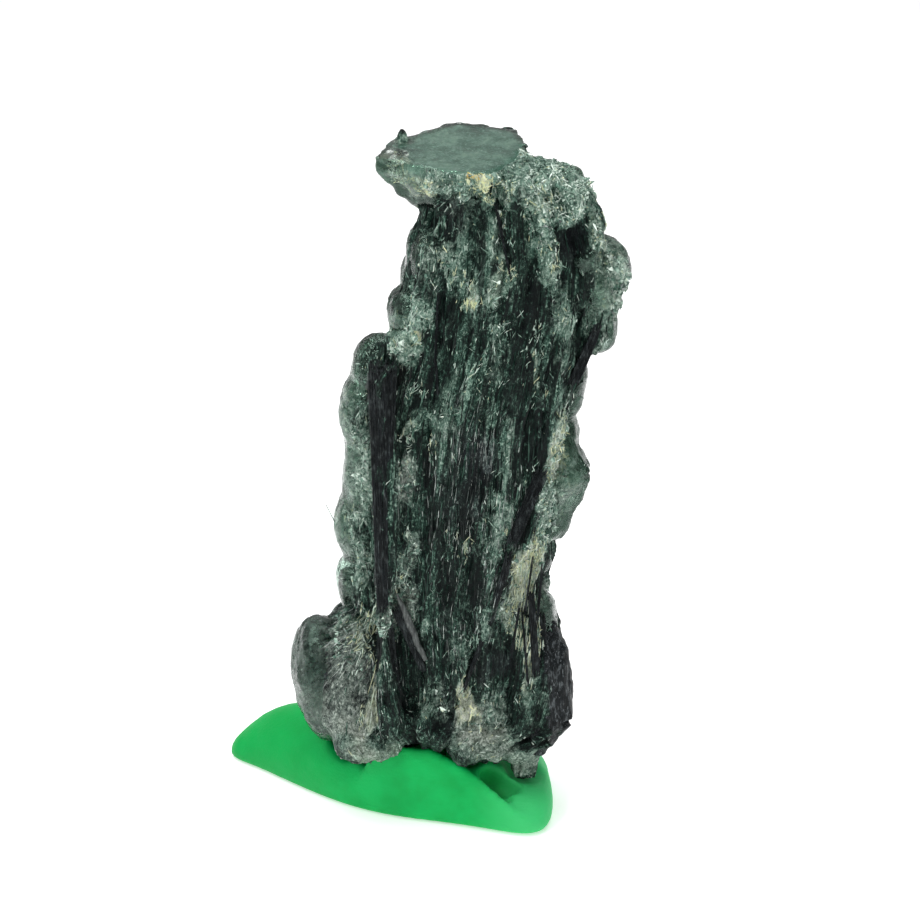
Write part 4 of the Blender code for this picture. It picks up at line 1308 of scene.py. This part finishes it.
def stage():
    """A white table and soft light from above."""
    select_none()
    bpy.ops.mesh.primitive_plane_add(size=FLOOR_SIZE, location=(0, 0, -FLOOR_DROP))
    floor = bpy.context.object
    floor.name = "floor"
    paint = Paint("white_table")
    floor.data.materials.append(paint.surface(
        Base_Color=(0.92, 0.92, 0.92), Roughness=0.8, Emission_Color=(1.0, 1.0, 1.0),
        Emission_Strength=FLOOR_GLOW))
    world = bpy.data.worlds.new("studio")
    bpy.context.scene.world = world
    world.use_nodes = True
    sky = world.node_tree.nodes["Background"].inputs
    sky["Color"].default_value = (1.0, 1.0, 1.0, 1.0)
    sky["Strength"].default_value = SKY_GLOW
    for spot, size, power in LAMPS:
        light = bpy.data.lights.new("softbox", "AREA")
        light.energy, light.size = power, size
        lamp = linked("softbox", light)
        lamp.location = spot
        lamp.rotation_euler = (LAMPS_AIM - lamp.location).to_track_quat("-Z", "Y").to_euler()


def camera():
    data = bpy.data.cameras.new("camera")
    data.lens = CAMERA_LENS
    data.clip_start, data.clip_end = 0.005, 20.0
    eye = linked("camera", data)
    angle = math.radians(CAMERA_ELEVATION)
    back = Vector((0.0, -math.cos(angle), math.sin(angle)))
    eye.location = (CAMERA_TARGET - MIDDLE) * MM + back * CAMERA_DISTANCE * MM
    eye.rotation_euler = (-back).to_track_quat("-Z", "Y").to_euler()
    bpy.context.scene.camera = eye
    bpy.context.scene.view_settings.view_transform = "Standard"


def main():
    camera()
    stage()
    body = body_surface()
    skin = Skin(body)
    points = points_of(body)
    set_attribute(body, "grain", grain_of(points))
    face = table_weight(points + (0.0, 0.0, 0.4)) * (1.0 - inside(points, TABLE_KNOB, (1.4, 1.4, 1.6)))
    set_attribute(body, "calm", face)
    for name, values in zip(("light", "yellow", "cool"), zones_of(points)):
        set_attribute(body, name, values)
    dull = strand_paint("needle_dark", shine=SHINE, roughness=0.28)
    bright = strand_paint("needle_bright", shine=0.5, roughness=0.16)
    dark_needles(skin, dull)
    pale_splinters(skin, bright)
    fan_needles(skin, strand_paint("needle_grey", shine=0.4, roughness=0.2, grey=0.8))
    cream_needles(skin, bright)
    crusts(skin, bright)
    crumbs(skin, bright)
    wisps(skin, bright)
    moss(bright)
    hair_needle(bright)
    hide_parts("crystal_cluster")
    finish_piece(body, body_paint(), smooth=50)
    black_blades()
    glass = clear_paint("clear_crystal", (0.45, 0.82, 0.64), per_metre=200.0)
    clear_group("clear_left", DOMES_LEFT + WEBS_LEFT, glass, 1, back=0.35)
    clear_group("clear_upper_left", DOMES_UPPER_LEFT, glass, 2, back=0.35)
    clear_group("clear_right", DOMES_RIGHT + WEBS_RIGHT, glass, 3, back=0.3)
    clear_group("clear_upper_right", DOMES_UPPER_RIGHT, glass, 4, back=0.2)
    clear_group("clear_back", DOMES_BACK + LUMPS, glass, 5, voxel=0.32, lumpy=0.55)
    hazy = clear_paint("hazy_crystal", (0.6, 0.8, 0.7), per_metre=200.0, ripple=0.03, haze=0.3, dull=0.16)
    clear_group("clear_feet", DOME_FOOT, hazy, 6, voxel=0.2)
    clear_points(glass)
    foot_side()
    grey_prism()
    clear_table(clear_paint("clear_table", (0.6, 0.84, 0.7), per_metre=110.0, ripple=0.02, haze=0.10))
    putty_piece()


main()
